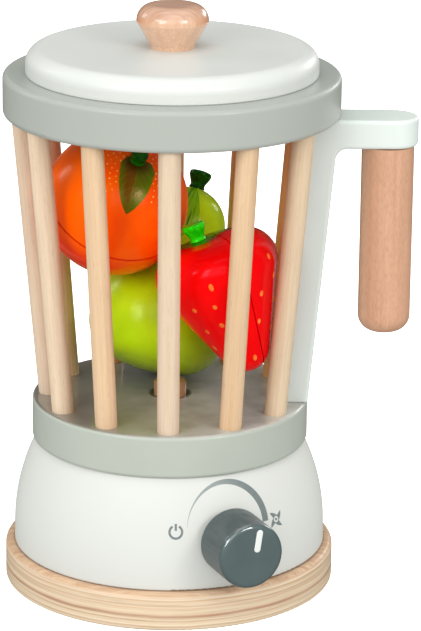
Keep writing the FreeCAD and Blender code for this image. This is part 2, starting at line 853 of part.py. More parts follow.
def pear_blank():
    """Domed foot, rounded heel, round body, hollow neck and round top: arcs that meet tangentially."""
    wide = size("pear_body_radius")
    depth = size("pear_foot_depth")
    dome = size("pear_foot_radius")
    heel = size("pear_heel_radius")
    neck = size("pear_neck_radius")
    lobe = size("pear_lobe_radius")
    rise = size("pear_lobe_height")
    far_wide = wide + neck
    far_lobe = lobe + neck
    neck_height = (far_wide**2 - far_lobe**2 + rise**2) / (2 * rise)
    neck_reach = math.sqrt(far_wide**2 - neck_height**2)
    low = math.degrees(math.atan2(neck_height, neck_reach))
    high = math.degrees(math.atan2(neck_height - rise, neck_reach))
    dome_height = dome - depth
    near_wide = wide - heel
    near_dome = dome - heel
    heel_height = (dome_height**2 - near_dome**2 + near_wide**2) / (2 * dome_height)
    heel_reach = math.sqrt(near_wide**2 - heel_height**2)
    dome_end = math.degrees(math.atan2(heel_height - dome_height, heel_reach))
    heel_end = math.degrees(math.atan2(heel_height, heel_reach))
    body = DOCUMENT.addObject("PartDesign::Body", "PearBlank")
    sketch = new_sketch(body, "PearOutline")
    sketch.addGeometry(
        [
            arc_points((0, dome_height), dome, -90, dome_end),
            arc_points((heel_reach, heel_height), heel, dome_end, heel_end),
            arc_points((0, 0), wide, heel_end, low),
            arc_points((neck_reach, neck_height), neck, 180 + high, 180 + low),
            arc_points((0, rise), lobe, high, 90),
            Part.LineSegment(VECTOR(0, rise + lobe, 0), VECTOR(0, -depth, 0)),
        ],
        False,
    )
    for link in ((0, 2, 1, 1), (1, 2, 2, 1), (2, 2, 3, 2), (3, 1, 4, 1)):
        sketch.addConstraint(Sketcher.Constraint("Tangent", *link))
    for link in ((4, 2, 5, 1), (5, 2, 0, 1), (2, 3, -1, 1)):
        sketch.addConstraint(Sketcher.Constraint("Coincident", *link))
    sketch.addConstraint(Sketcher.Constraint("Vertical", 5))
    sketch.addConstraint(Sketcher.Constraint("PointOnObject", 5, 1, -2))
    sketch.addConstraint(Sketcher.Constraint("PointOnObject", 0, 3, -2))
    fix_point(sketch, 4, 3, None, "pear_lobe_height")
    fix_radius(sketch, 0, "pear_foot_radius")
    fix_radius(sketch, 1, "pear_heel_radius")
    fix_radius(sketch, 2, "pear_body_radius")
    fix_radius(sketch, 3, "pear_neck_radius")
    fix_radius(sketch, 4, "pear_lobe_radius")
    number = sketch.addConstraint(Sketcher.Constraint("DistanceY", 5, 2, -1, 1, depth))
    sketch.setExpression(f"Constraints[{number}]", "Sizes.pear_foot_depth")
    revolve(body, sketch)
    return body


def berry_blank():
    """Round tip, straight flank, round shoulder and a low dome under the stem."""
    tip = size("berry_tip_radius")
    drop = size("berry_tip_drop")
    bulge = size("berry_shoulder_radius")
    reach = size("berry_shoulder_reach")
    top = size("berry_top")
    span = math.hypot(reach, drop)
    slope = math.degrees(math.atan2(drop, reach) - math.acos((tip - bulge) / span) + math.pi / 2)
    normal = slope - 90
    dome = (reach**2 + top**2 - bulge**2) / (2 * (top - bulge))
    dome_start = math.degrees(math.atan2(dome - top, reach))
    across = math.cos(math.radians(normal))
    along = math.sin(math.radians(normal))
    body = DOCUMENT.addObject("PartDesign::Body", "BerryBlank")
    sketch = new_sketch(body, "BerryOutline")
    sketch.addGeometry(
        [
            arc_points((0, -drop), tip, -90, normal),
            Part.LineSegment(
                VECTOR(tip * across, tip * along - drop, 0), VECTOR(reach + bulge * across, bulge * along, 0)
            ),
            arc_points((reach, 0), bulge, normal, dome_start),
            arc_points((0, top - dome), dome, dome_start, 90),
            Part.LineSegment(VECTOR(0, top, 0), VECTOR(0, -drop - tip, 0)),
        ],
        False,
    )
    for link in (("Tangent", 0, 2, 1, 1), ("Tangent", 1, 2, 2, 1), ("Tangent", 2, 2, 3, 1)):
        sketch.addConstraint(Sketcher.Constraint(*link))
    for link in (("Coincident", 3, 2, 4, 1), ("Coincident", 4, 2, 0, 1), ("PointOnObject", 3, 3, -2)):
        sketch.addConstraint(Sketcher.Constraint(*link))
    sketch.addConstraint(Sketcher.Constraint("PointOnObject", 0, 3, -2))
    sketch.addConstraint(Sketcher.Constraint("PointOnObject", 0, 1, -2))
    fix_radius(sketch, 0, "berry_tip_radius")
    fix_radius(sketch, 2, "berry_shoulder_radius")
    fix_point(sketch, 2, 3, "berry_shoulder_reach", None)
    fix_point(sketch, 4, 1, None, "berry_top")
    number = sketch.addConstraint(Sketcher.Constraint("DistanceY", 0, 3, -1, 1, drop))
    sketch.setExpression(f"Constraints[{number}]", "Sizes.berry_tip_drop")
    revolve(body, sketch)
    return body


def half_space(name, turn, seat, sign):
    """A block that covers one side of a cut plane whose normal is the turned Z axis."""
    reach = "2 * (Sizes.pear_top + Sizes.berry_tip_drop)"
    start = f"{seat} - Sizes.fruit_seam / 2" if sign > 0 else f"{seat} + Sizes.fruit_seam / 2 - {reach}"
    block = bind(DOCUMENT.addObject("Part::Box", name), Length=reach, Width=reach, Height=reach)
    block.setExpression("Placement", f"{turn} * {place(x=f'-({reach}) / 2', y=f'-({reach}) / 2', z=start)}")
    return block


def fruit_half(fruit, blank, turn, seat, sign, label, holes):
    """One half of a fruit, with a recess for its fastening patch in the cut face."""
    title = f"{fruit}{'Far' if sign > 0 else 'Near'}"
    face = f"{seat} + {sign} * Sizes.fruit_seam / 2"
    start = face if sign > 0 else f"{face} - Sizes.patch_recess"
    recess = cylinder(
        f"{title}Recess",
        "Sizes.patch_radius + Sizes.glue_gap",
        "Sizes.patch_recess",
        f"{turn} * {place(z=start)}",
    )
    other = half_space(f"{title}Block", turn, seat, -sign)
    half = cut(title, blank, [other, recess] + holes)
    half.setExpression("Placement", fruit_place(fruit))
    keep(half, label)
    inner = f"{seat} + Sizes.patch_gap / 2"
    if sign < 0:
        inner = f"{seat} - Sizes.patch_gap / 2 - Sizes.patch_thickness"
    patch = cylinder(
        f"{title}Patch",
        "Sizes.patch_radius",
        "Sizes.patch_thickness",
        f"{fruit_place(fruit)} * {turn} * {place(z=inner)}",
    )
    keep(patch, f"{label}_patch")


def stem(fruit, seat, height="stem_height", level="stem_lip_level", lip="stem_lip_radius", reach="0"):
    """A stem with a waist and a rounded lip on a peg, and the hole that the peg is glued into."""
    hole = cylinder(
        f"{fruit}StemHole",
        "Sizes.stem_peg_radius + Sizes.glue_gap",
        "Sizes.stem_peg_length + Sizes.end_gap + Sizes.stem_height",
        place(x=reach, z=f"{seat} - Sizes.stem_peg_length - Sizes.end_gap"),
    )
    peg = cylinder(f"{fruit}StemPeg", "Sizes.stem_peg_radius", "Sizes.stem_peg_length + Sizes.end_gap")
    peg.setExpression("Placement", place(z="-(Sizes.stem_peg_length + Sizes.end_gap)"))
    flare = turned(
        f"{fruit}StemFlare",
        [
            (None, None),
            ("stem_foot_radius", None),
            ("stem_waist_radius", "stem_waist_height"),
            (lip, level),
            (lip, height),
            (None, height),
        ],
        [
            ("stem_waist_radius", "stem_waist_height", "stem_waist_round"),
            (lip, level, "stem_lip_round"),
            (lip, height, "stem_lip_round"),
        ],
    )
    whole = DOCUMENT.addObject("Part::Fuse", f"{fruit}Stem")
    whole.Base = peg
    whole.Tool = flare
    spot = place(x=reach, z=f"{seat} + Sizes.end_gap")
    whole.setExpression("Placement", f"{fruit_place(fruit)} * {spot}")
    keep(whole, f"{fruit}_stem")
    return [hole]


def stem_seat(fruit, seat, reach):
    """A flat-bottomed seat for the stem's foot, cut into a domed top."""
    radius = "Sizes.stem_foot_radius + Sizes.stem_seat_clearance"
    return cylinder(f"{fruit}StemSeat", radius, "Sizes.stem_height", place(x=reach, z=seat))


def build_fruit():
    """Orange and pear are cut across their own axis, the strawberry along it, beside its stem."""
    across = place()
    along = f"{place(tilt='90')} * {place(x='Sizes.berry_patch_drop')}"
    blank = orange_blank()
    low_stem = ["orange_stem_height", "orange_stem_lip_level", "orange_stem_lip_radius"]
    holes = stem("orange", "Sizes.orange_half_height", *low_stem)
    fruit_half("orange", blank, across, "Sizes.orange_cut", 1, "orange_top", holes)
    fruit_half("orange", blank, across, "Sizes.orange_cut", -1, "orange_bottom", [])
    blank = pear_blank()
    holes = stem("pear", "Sizes.pear_top")
    fruit_half("pear", blank, across, "Sizes.pear_cut", 1, "pear_top", holes)
    fruit_half("pear", blank, across, "Sizes.pear_cut", -1, "pear_bottom", [])
    blank = berry_blank()
    beside = "-Sizes.berry_stem_shift"
    holes = stem("berry", "Sizes.berry_seat", reach=beside)
    holes.append(stem_seat("berry", "Sizes.berry_seat", beside))
    fruit_half("berry", blank, along, "Sizes.berry_cut", 1, "berry_back", [])
    fruit_half("berry", blank, along, "Sizes.berry_cut", -1, "berry_front", holes)


def check_document():
    """Stops with a message if any object failed or any piece isn't a sound solid."""
    for thing in DOCUMENT.Objects:
        if "Invalid" in thing.State or "Error" in thing.State:
            raise RuntimeError(f"{thing.Name} {thing.Label}: {thing.State}")
    for piece in PIECES:
        shape = piece.Shape
        if shape.isNull() or not shape.isValid() or not shape.Solids:
            raise RuntimeError(f"{piece.Label} is not a sound solid")


def main():
    fill_sheet()
    plate_room = plate_screw_room()
    rods = rod_tools()
    foot_room = foot_screw_room()
    dowel_room = ring_dowel("RingDowelRoom", "Sizes.glue_gap", "Sizes.end_gap")
    build_base_plate(plate_room)
    build_housing(plate_room)
    build_peg()
    build_dial()
    build_floor(rods, foot_room)
    build_rods()
    build_ring(rods, dowel_room)
    build_handle(dowel_room, foot_room)
    build_grip()
    build_handle_fasteners()
    build_lid()
    build_fruit()
    DOCUMENT.recompute()
    check_document()
    os.makedirs("parts", exist_ok=True)
    for piece in PIECES:
        piece.Shape.exportStep(f"parts/{piece.Label}.step")
        print(f"{piece.Label}: {len(piece.Shape.Solids)} solid(s), {piece.Shape.Volume:.1f} mm3")


main()
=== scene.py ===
"""Looks of the toy blender: painted wood, plywood, beech dowels and glossy play fruit.

Metres, in the CAD model's own frame: +Z up the jug's axis, +X towards the handle. Materials read
Object coordinates, turned into millimetres first, so a length inside a paint is in millimetres.
"""

import math

import bpy
import numpy as np
from mathutils import Matrix, Vector


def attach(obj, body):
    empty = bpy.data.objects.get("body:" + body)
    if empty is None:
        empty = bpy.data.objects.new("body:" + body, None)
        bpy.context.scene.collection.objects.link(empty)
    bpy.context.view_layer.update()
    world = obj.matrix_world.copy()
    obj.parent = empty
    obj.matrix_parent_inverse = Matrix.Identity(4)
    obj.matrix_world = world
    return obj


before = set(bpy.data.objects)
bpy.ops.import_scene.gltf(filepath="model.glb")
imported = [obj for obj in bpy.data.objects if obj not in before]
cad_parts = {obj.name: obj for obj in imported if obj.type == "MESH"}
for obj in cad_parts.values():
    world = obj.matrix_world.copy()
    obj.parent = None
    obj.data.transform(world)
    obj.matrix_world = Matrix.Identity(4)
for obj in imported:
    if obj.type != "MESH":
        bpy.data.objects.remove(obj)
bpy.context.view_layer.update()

MM = 0.001
WHITE = (1.0, 1.0, 1.0, 1.0)
GOLDEN_ANGLE = math.pi * (3 - math.sqrt(5))

# Places repeated from the CAD source, in millimetres and degrees.
HOUSING_FOOT_RADIUS = 66.1
HOUSING_BEND = 83.65
HOUSING_SHOULDER = 23.0
HOUSING_TOP = 62.1
FLOOR_TOP = 80.0
PLATE_RADIUS = 70.0
PLATE_THICKNESS = 16.0
DIAL_AZIMUTH = -66.5
DIAL_LEVEL = 36.9
DIAL_FRONT = 87.4
ROD_LEAN = 5.2
KNOB_TOP = 247.8
ORANGE = {"centre": (-23.25, -1.8, 163.75), "lean": 41.0, "azimuth": -61.9, "spin": 0.0}
PEAR = {"centre": (-5.2, 18.2, 107.3), "lean": 29.3, "azimuth": 57.4, "spin": 0.0}
BERRY = {"centre": (19.2, -19.4, 140.6), "lean": 20.9, "azimuth": 164.3, "spin": 19.1}
ORANGE_RADIUS = 30.3
ORANGE_HALF_HEIGHT = 30.5
ORANGE_CUT = 1.6
PEAR_LOBE_HEIGHT = 41.7
PEAR_LOBE_RADIUS = 16.9
BERRY_RADIUS = 26.3
BERRY_SHOULDER = 12.8
BERRY_TIP = 10.9
BERRY_DROP = 34.2
BERRY_STEM_SHIFT = 3.3
GRIP_CENTRE = (89.7, 0.0)

# Leaves, specks and seeds painted on the fruit, in millimetres along its skin and degrees.
ORANGE_LEAF_SIDE = 1.0
ORANGE_LEAF_HALF = 7.6
ORANGE_LEAF_LENGTH = 24.3
SPECK_COUNT = 170
SPECK_ARCS = (5.5, 19.5)
PEAR_LEAF_AZIMUTH = -97.0
PEAR_LEAF_LENGTH = 36.0
BERRY_COLLAR = 6.6
# Bearing from the stem in degrees, length beyond the collar, and narrowness of each painted leaf.
BERRY_LEAVES = [(31.0, 14.0, 7.0), (143.0, 5.5, 6.0), (-84.0, 2.4, 3.0)]
# Arc length from the tip and angle round the axis of each seed, five seeds to a line.
BERRY_SEEDS = [
    (52.5, -115.0), (42.9, -120.0), (43.8, -143.5), (31.7, -148.5), (33.2, -123.0),
    (54.9, -48.5), (45.7, -41.0), (40.7, -64.5), (34.7, -37.5), (56.0, -84.0),
    (46.5, -92.0), (36.5, -94.0), (28.5, -71.0), (24.0, -108.0), (22.5, -38.0),
    (55.5, -148.0), (53.5, -178.0), (43.5, -170.0), (33.5, 179.0), (22.5, -162.0),
    (12.5, -90.0), (12.0, 30.0), (12.5, 150.0), (55.5, -14.0), (44.5, -12.0),
    (33.5, -7.0), (54.0, 18.0), (44.0, 14.0), (34.0, 24.0), (22.5, 5.0),
    (55.5, 50.0), (44.5, 44.0), (33.0, 55.0), (54.5, 82.0), (44.5, 74.0),
    (33.5, 86.0), (23.0, 68.0), (55.5, 114.0), (44.0, 104.0), (34.0, 117.0),
    (54.5, 146.0), (44.5, 134.0), (33.5, 148.0), (22.5, 122.0), (44.0, 164.0),
]

# The dial's bar: its middle to the right of the axis and above it, and its rings from the back,
# each with its half width and its height over the face.
POINTER_MIDDLE = (2.7, 6.5)
POINTER_LEAN = 8.5
POINTER_LENGTH = 9.6
POINTER_RINGS = [(1.35, -0.15), (1.35, 0.10), (1.25, 0.17), (1.0, 0.20)]
POINTER_SIDES = 32

# Marks printed on the housing: places across and up its unrolled wall, from below the dial.
# The power mark's bar is given by its middle over the mark's centre and its half length.
INK_EDGE = 0.08
CRESCENT_OUTER = ((0.55, 19.55), 19.1)
CRESCENT_INNER = ((-0.95, 19.09), 17.50)
CRESCENT_FEET = (18.15, 18.35)
POWER_MIDDLE = (-23.4, 18.3)
POWER_RADIUS = 2.67
POWER_LINE = 0.5
POWER_BAR = (2.0, 1.44)
BLADE_MIDDLE = (24.1, 17.7)
BLADE_ROOT = 1.65
BLADE_LENGTH = 2.9
HUB_RADIUS = 0.96
HUB_LINE = 0.34

# Grain of the orange peel in sprayed paint.
PEEL_SIZE = 0.9
ROD_STEP = 30.0
# Light and dark tint of each rod, from the first one round.
# Besides the dowels' own tone these tints carry painted shade: rods 01 to 04, at the back in shade,
# are tinted warmer and more saturated, and the others were matched rod by rod to the light each
# gets.
ROD_TINTS_AND_SHADE = [
    ((240, 188, 132), (218, 156, 96)),
    ((236, 182, 126), (214, 150, 92)),
    ((240, 188, 132), (218, 156, 96)),
    ((236, 182, 126), (214, 150, 92)),
    ((218, 190, 153), (198, 160, 118)),
    ((225, 204, 180), (209, 181, 152)),
    ((231, 210, 184), (212, 185, 153)),
    ((223, 197, 162), (209, 173, 134)),
    ((218, 201, 178), (208, 181, 151)),
    ((222, 193, 157), (206, 171, 132)),
    ((220, 200, 170), (204, 176, 143)),
]
# Height up the plate, from 0 to 1, and tint of the plies that show on its edge.
PLIES = [
    (0.000, (200, 174, 140)),
    (0.080, (215, 194, 165)),
    (0.115, (185, 153, 118)),
    (0.150, (220, 202, 172)),
    (0.240, (212, 188, 155)),
    (0.265, (187, 153, 118)),
    (0.290, (218, 198, 168)),
    (0.345, (204, 176, 142)),
    (0.370, (170, 131, 103)),
    (0.410, (178, 139, 111)),
    (0.440, (209, 182, 150)),
    (0.530, (220, 201, 170)),
    (0.600, (200, 170, 137)),
    (0.640, (215, 192, 161)),
    (0.680, (189, 155, 120)),
    (0.710, (220, 201, 170)),
    (0.790, (207, 178, 143)),
    (0.815, (189, 152, 116)),
    (0.845, (224, 206, 178)),
    (0.920, (205, 172, 137)),
    (1.000, (196, 157, 122)),
]

# The studio, in metres, degrees and watts.
FLOOR_GLOW = 0.75
FLOOR_REACH = 30.0
ROOM_LIGHT = 0.85
ROOM_REFLECTION = 0.05
LIGHT_DISTANCE = 1.6
LIGHT_TARGET = (0.0, 0.0, 0.12)
# Name, azimuth from straight ahead (+ to the right), elevation, width and height, and power.
LIGHTS = [
    ("left_box", -33.0, 23.0, (0.52, 0.60), 7.2),
    ("left_lamp", -50.0, 28.0, (0.20, 0.20), 1.6),
    ("right_box", 37.0, 24.0, (0.50, 0.58), 5.6),
    ("right_lamp", 43.0, 25.0, (0.20, 0.20), 2.2),
    ("front_box", -6.0, 28.0, (1.0, 0.8), 3.6),
    ("top_box", 0.0, 78.0, (1.2, 1.2), 5.6),
    ("far_left_box", -115.0, 26.0, (0.30, 0.50), 1.8),
    ("far_right_box", 143.0, 17.0, (0.60, 0.34), 4.0),
]
CAMERA_PLACE = (0.01683, -1.33323, 0.52495)
CAMERA_TARGET = (0.016826, 0.0, 0.114441)
CAMERA_ROLL = 0.625
SENSOR_WIDTH = 36.0
LENS_LENGTH = 188.90015848


def srgb(red, green, blue):
    """Scene-linear colour of a paint swatch given as 0 to 255 per channel."""
    swatch = np.array([red, green, blue]) / 255
    linear = np.where(swatch <= 0.04045, swatch / 12.92, ((swatch + 0.055) / 1.055) ** 2.4)
    return (*linear.tolist(), 1.0)


def darker(colour, share):
    """The same hue at a share of its brightness."""
    return (*[channel * share for channel in colour[:3]], 1.0)


def turn(axis, degrees):
    """Rotation matrix about the Y or the Z axis."""
    c, s = math.cos(math.radians(degrees)), math.sin(math.radians(degrees))
    if axis == "Z":
        return np.array([[c, -s, 0], [s, c, 0], [0, 0, 1]])
    return np.array([[c, 0, s], [0, 1, 0], [-s, 0, c]])


def fruit_axes(fruit):
    """Columns are a fruit's own X, Y and Z axes: Z leans, and X and Y are spun about it."""
    twist = fruit["spin"] - fruit["azimuth"]
    return turn("Z", fruit["azimuth"]) @ turn("Y", fruit["lean"]) @ turn("Z", twist)


def distance(x, y):
    """Length of a vector with two parts."""
    return (x * x + y * y) ** 0.5


# Shader arithmetic


class Value:
    """A socket in a paint's node tree; Python's operators add Math nodes to it."""

    def __init__(self, paint, socket):
        self.paint = paint
        self.socket = socket

    def math(self, operation, *inputs):
        """A Math node of this paint with the given inputs."""
        return self.paint.add("ShaderNodeMath", {"operation": operation}, dict(enumerate(inputs)))

    def __add__(self, other):
        return self.math("ADD", self, other)

    def __sub__(self, other):
        return self.math("SUBTRACT", self, other)

    def __mul__(self, other):
        return self.math("MULTIPLY", self, other)

    def __truediv__(self, other):
        return self.math("DIVIDE", self, other)

    def __rsub__(self, other):
        return self.math("SUBTRACT", other, self)

    def __gt__(self, other):
        return self.math("GREATER_THAN", self, other)

    def __lt__(self, other):
        return self.math("LESS_THAN", self, other)

    def __pow__(self, other):
        return self.math("POWER", self, other)

    def __abs__(self):
        return self.math("ABSOLUTE", self)

    def sine(self):
        return self.math("SINE", self)

    def cosine(self):
        return self.math("COSINE", self)

    def over_angle(self, other):
        """Angle whose tangent is this value over another, all the way round."""
        return self.math("ARCTAN2", self, other)

    def least(self, other):
        return self.math("MINIMUM", self, other)

    def most(self, other):
        return self.math("MAXIMUM", self, other)

    def clipped(self):
        """Held between 0 and 1."""
        return self.most(0.0).least(1.0)

    def fade(self, low, high):
        """0 below low, 1 above high, smooth between; low may be the larger."""
        settings = {"interpolation_type": "SMOOTHSTEP"}
        inlets = {0: self, 1: low, 2: high, 3: 0.0, 4: 1.0}
        return self.paint.add("ShaderNodeMapRange", settings, inlets)


class Paint:
    """One material: its tree, its coordinates in millimetres and its finished surface."""

    def __init__(self, name):
        self.material = bpy.data.materials.new(name)
        self.material.use_nodes = True
        self.tree = self.material.node_tree
        self.tree.nodes.clear()
        where = self.add("ShaderNodeTexCoord", {}, {}, "Object")
        self.place = self.add("ShaderNodeVectorMath", {"operation": "SCALE"}, {0: where, 3: 1 / MM})

    def add(self, kind, settings, inlets, out=0):
        """A node of a type: its settings, then its sockets' values or links; gives one output."""
        node = self.tree.nodes.new(kind)
        for name, value in settings.items():
            if name == "stops":
                self.fill_ramp(node.color_ramp, value)
                continue
            setattr(node, name, value)
        for name, value in inlets.items():
            if isinstance(value, Value):
                self.tree.links.new(value.socket, node.inputs[name])
            else:
                node.inputs[name].default_value = value
        return Value(self, node.outputs[out])

    def fill_ramp(self, ramp, stops):
        """Gives a colour ramp its stops: positions from 0 to 1 and colours."""
        while len(ramp.elements) < len(stops):
            ramp.elements.new(1.0)
        for element, (position, colour) in zip(ramp.elements, stops):
            element.position = position
            element.color = colour

    def mix(self, share, first, second):
        """Colour between two colours, by a share from 0 to 1."""
        return self.add("ShaderNodeMix", {"data_type": "RGBA"}, {0: share, 6: first, 7: second}, 2)

    def brighten(self, colour, value):
        """A colour with its brightness multiplied."""
        return self.add("ShaderNodeHueSaturation", {}, {"Value": value, "Color": colour})

    def along(self, direction, start=(0.0, 0.0, 0.0)):
        """Distance from a point along a direction."""
        kind = "ShaderNodeVectorMath"
        from_start = self.add(kind, {"operation": "SUBTRACT"}, {0: self.place, 1: start})
        inlets = {0: from_start, 1: tuple(direction)}
        return self.add(kind, {"operation": "DOT_PRODUCT"}, inlets, "Value")

    def axes(self, columns=np.eye(3), start=(0.0, 0.0, 0.0)):
        """Distances from a point along three axes, given as the columns of a matrix."""
        return [self.along(columns[:, number].tolist(), start) for number in range(3)]

    def vector(self, x, y, z):
        """Three values as one vector."""
        return self.add("ShaderNodeCombineXYZ", {}, {0: x, 1: y, 2: z})

    def noise(self, vector, size, detail=2.0, roughness=0.5):
        """Cloudy pattern from 0 to 1 with features of a size in millimetres."""
        inlets = {"Vector": vector, "Scale": 1 / size, "Detail": detail, "Roughness": roughness}
        return self.add("ShaderNodeTexNoise", {}, inlets, "Fac")

    def cells(self, vector, size):
        """Distance to the nearest of many scattered points, in cells of a size."""
        inlets = {"Vector": vector, "Scale": 1 / size, "Randomness": 1.0}
        return self.add("ShaderNodeTexVoronoi", {}, inlets, "Distance")

    def ramp(self, share, stops):
        """Colour at a share from 0 to 1 of a row of stops."""
        return self.add("ShaderNodeValToRGB", {"stops": stops}, {0: share}, "Color")

    def bump(self, height, depth, strength=0.5):
        """Normal from a height of 0 to 1 that stands for a depth in millimetres."""
        inlets = {"Strength": strength, "Distance": depth * MM, "Height": height}
        return self.add("ShaderNodeBump", {}, inlets)

    def finish(self, colour, roughness, normal=None, **constants):
        """The finished material; further sockets are named with _ for each space."""
        inlets = {"Base Color": colour, "Roughness": roughness}
        if normal is not None:
            inlets["Normal"] = normal
        for name, value in constants.items():
            inlets[name.replace("_", " ")] = value
        surface = self.add("ShaderNodeBsdfPrincipled", {}, inlets)
        output = self.tree.nodes.new("ShaderNodeOutputMaterial")
        self.tree.links.new(surface.socket, output.inputs[0])
        return self.material


# Painted wood


def satin_paint(name, colour, roughness=0.42):
    """Sprayed satin paint on turned wood: faint clouding, orange peel and faint growth rings."""
    paint = Paint(name)
    x, y, z = paint.axes()
    clouds = paint.noise(paint.place, 26.0, 3.0)
    rings = paint.noise(paint.vector(distance(x, y) * 0.2, z * 1.6, clouds * 2.0), 3.2, 3.0)
    peel = paint.noise(paint.place, PEEL_SIZE)
    flecks = paint.noise(paint.place, 2.2, 4.0).fade(0.70, 0.78)
    shade = paint.mix(clouds, darker(colour, 0.955), colour)
    shade = paint.mix(flecks * 0.10, shade, darker(colour, 0.72))
    gloss = clouds * 0.10 + rings * 0.06 + (roughness - 0.08)
    normal = paint.bump(peel * 0.5 + rings * 0.35, 0.10, 0.55)
    coat = {"Coat_Weight": 0.10, "Coat_Roughness": 0.16}
    return paint.finish(shade, gloss, normal, Specular_IOR_Level=0.4, **coat)


def inside_circle(across, rise, centre, radius):
    """1 inside a circle on the unrolled wall, 0 outside it."""
    reach = distance(across - centre[0], rise - centre[1])
    return (radius - reach).fade(-INK_EDGE, INK_EDGE)


def stroke(offset, half):
    """1 on a printed line of a half width, by the distance from its middle."""
    return abs(offset).fade(half + INK_EDGE, half - INK_EDGE)


def power_mark(across, rise):
    """Broken ring with a bar in its gap."""
    right = across - POWER_MIDDLE[0]
    up = rise - POWER_MIDDLE[1]
    ring = stroke(distance(right, up) - POWER_RADIUS, POWER_LINE)
    gap = (abs(right) - up * 0.58).fade(-0.10, 0.10)
    bar_middle, bar_half = POWER_BAR
    bar = stroke(right, POWER_LINE) * stroke(up - bar_middle, bar_half)
    return (ring * gap).most(bar)


def blade_mark(across, rise):
    """Four-bladed star round a hub: each blade runs out to a tip and falls back in a curve."""
    right = across - BLADE_MIDDLE[0]
    up = rise - BLADE_MIDDLE[1]
    reach = distance(right, up)
    quarter = right.over_angle(up) / (math.pi / 2) + 4.5
    turned = quarter.math("FRACT", quarter)
    tip = ((1 - turned) ** 2.4).most(turned**12.0) * BLADE_LENGTH + BLADE_ROOT
    star = (tip - reach).fade(-0.12, 0.12)
    return star * (1 - stroke(reach - HUB_RADIUS, HUB_LINE))


def housing_paint():
    """White satin paint with the printed crescent and two pictograms round the dial.

    The wall is unrolled: across is the foot's radius times the angle from the dial, rise is the
    arc length up the wall from its upright foot. The crescent lies between two circles.
    """
    paint = Paint("housing_white")
    colour = srgb(204, 206, 200)
    x, y, z = paint.axes()
    angle = y.over_angle(x)
    across = (angle - math.radians(DIAL_AZIMUTH)) * HOUSING_FOOT_RADIUS
    climb = (z - HOUSING_SHOULDER) / HOUSING_BEND
    rise = climb.math("ARCSINE", climb.least(0.99)) * HOUSING_BEND
    outer = inside_circle(across, rise, *CRESCENT_OUTER)
    inner = inside_circle(across, rise, *CRESCENT_INNER)
    above = (rise - across.fade(0.0, -12.0) * 1.6).fade(*CRESCENT_FEET)
    crescent = outer * (1 - inner) * above
    wall = (z < HOUSING_TOP - 0.5) * (z > PLATE_THICKNESS)
    marks = power_mark(across, rise).most(blade_mark(across, rise))
    wear_and_shade = paint.noise(paint.place, 1.6, 3.0) * 0.14 + 0.84
    ink = crescent.most(marks) * wall * wear_and_shade
    clouds = paint.noise(paint.place, 30.0, 3.0)
    streaks = paint.noise(paint.vector(x * 0.9, y * 0.9, z * 0.12), 2.2, 3.0)
    peel = paint.noise(paint.place, PEEL_SIZE)
    shade = paint.mix(clouds, darker(colour, 0.965), colour)
    faded = across.fade(16.0, -18.5) * (1 - marks)
    shade = paint.mix(ink, shade, paint.mix(faded, srgb(99, 111, 111), srgb(139, 148, 146)))
    normal = paint.bump(peel * 0.5 + streaks * 0.30, 0.09)
    gloss = clouds * 0.10 + streaks * 0.05 + 0.44
    coat = {"Coat_Weight": 0.03, "Coat_Roughness": 0.20}
    return paint.finish(shade, gloss, normal, Specular_IOR_Level=0.15, **coat)


def jug_floor_paint():
    """Sage paint, glossier on top, where it carries painted shade: dark to the left, lighter to the
    right, with dark blotches for the shadows and reflections of the rods and fruit. A dark ring is
    painted round the peg hole.
    """
    paint = Paint("sage_floor")
    x, y, z = paint.axes()
    clouds = paint.noise(paint.place, 22.0, 3.0)
    shade_and_bump_blotches = paint.noise(paint.place, 11.0, 2.0)
    peel = paint.noise(paint.place, PEEL_SIZE)
    top = z.fade(FLOOR_TOP - 0.7, FLOOR_TOP - 0.1)
    shade = paint.mix(clouds, srgb(168, 174, 163), srgb(176, 182, 171))
    # Painted shade and reflections on the floor's top: darker to the left than the right, with dark
    # blotches for the rods' and fruit's shadows and reflections.
    wear_and_shade = paint.mix(x.fade(-42.0, 30.0), srgb(126, 123, 114), srgb(184, 184, 178))
    wear_and_shade = paint.mix(shade_and_bump_blotches.fade(0.35, 0.75) * 0.35, wear_and_shade, srgb(114, 114, 101))
    shade = paint.mix(top, shade, wear_and_shade)
    hole_rim = distance(x, y).fade(9.6, 8.4) * top
    shade = paint.mix(hole_rim * 0.8, shade, srgb(46, 38, 30))
    normal = paint.bump(peel * 0.4 + shade_and_bump_blotches * 0.6, 0.08)
    gloss = clouds * 0.10 + 0.36 - top * 0.16
    return paint.finish(shade, gloss, normal, Coat_Weight=top * 0.5 + 0.1, Coat_Roughness=0.08)


# Bare and varnished wood


def long_grain(paint, across, deep, along, seed):
    """Straight beech grain: growth bands, fine fibres and short dark pores, each from 0 to 1."""
    bands = paint.noise(paint.vector(across + seed, deep, along * 0.02), 2.6, 2.0)
    fibres = paint.noise(paint.vector(across + seed, deep, along * 0.030), 0.55, 3.0, 0.6)
    pores = paint.noise(paint.vector(across + seed, deep, along * 0.07), 0.36, 1.0).fade(0.64, 0.76)
    return bands, fibres, pores


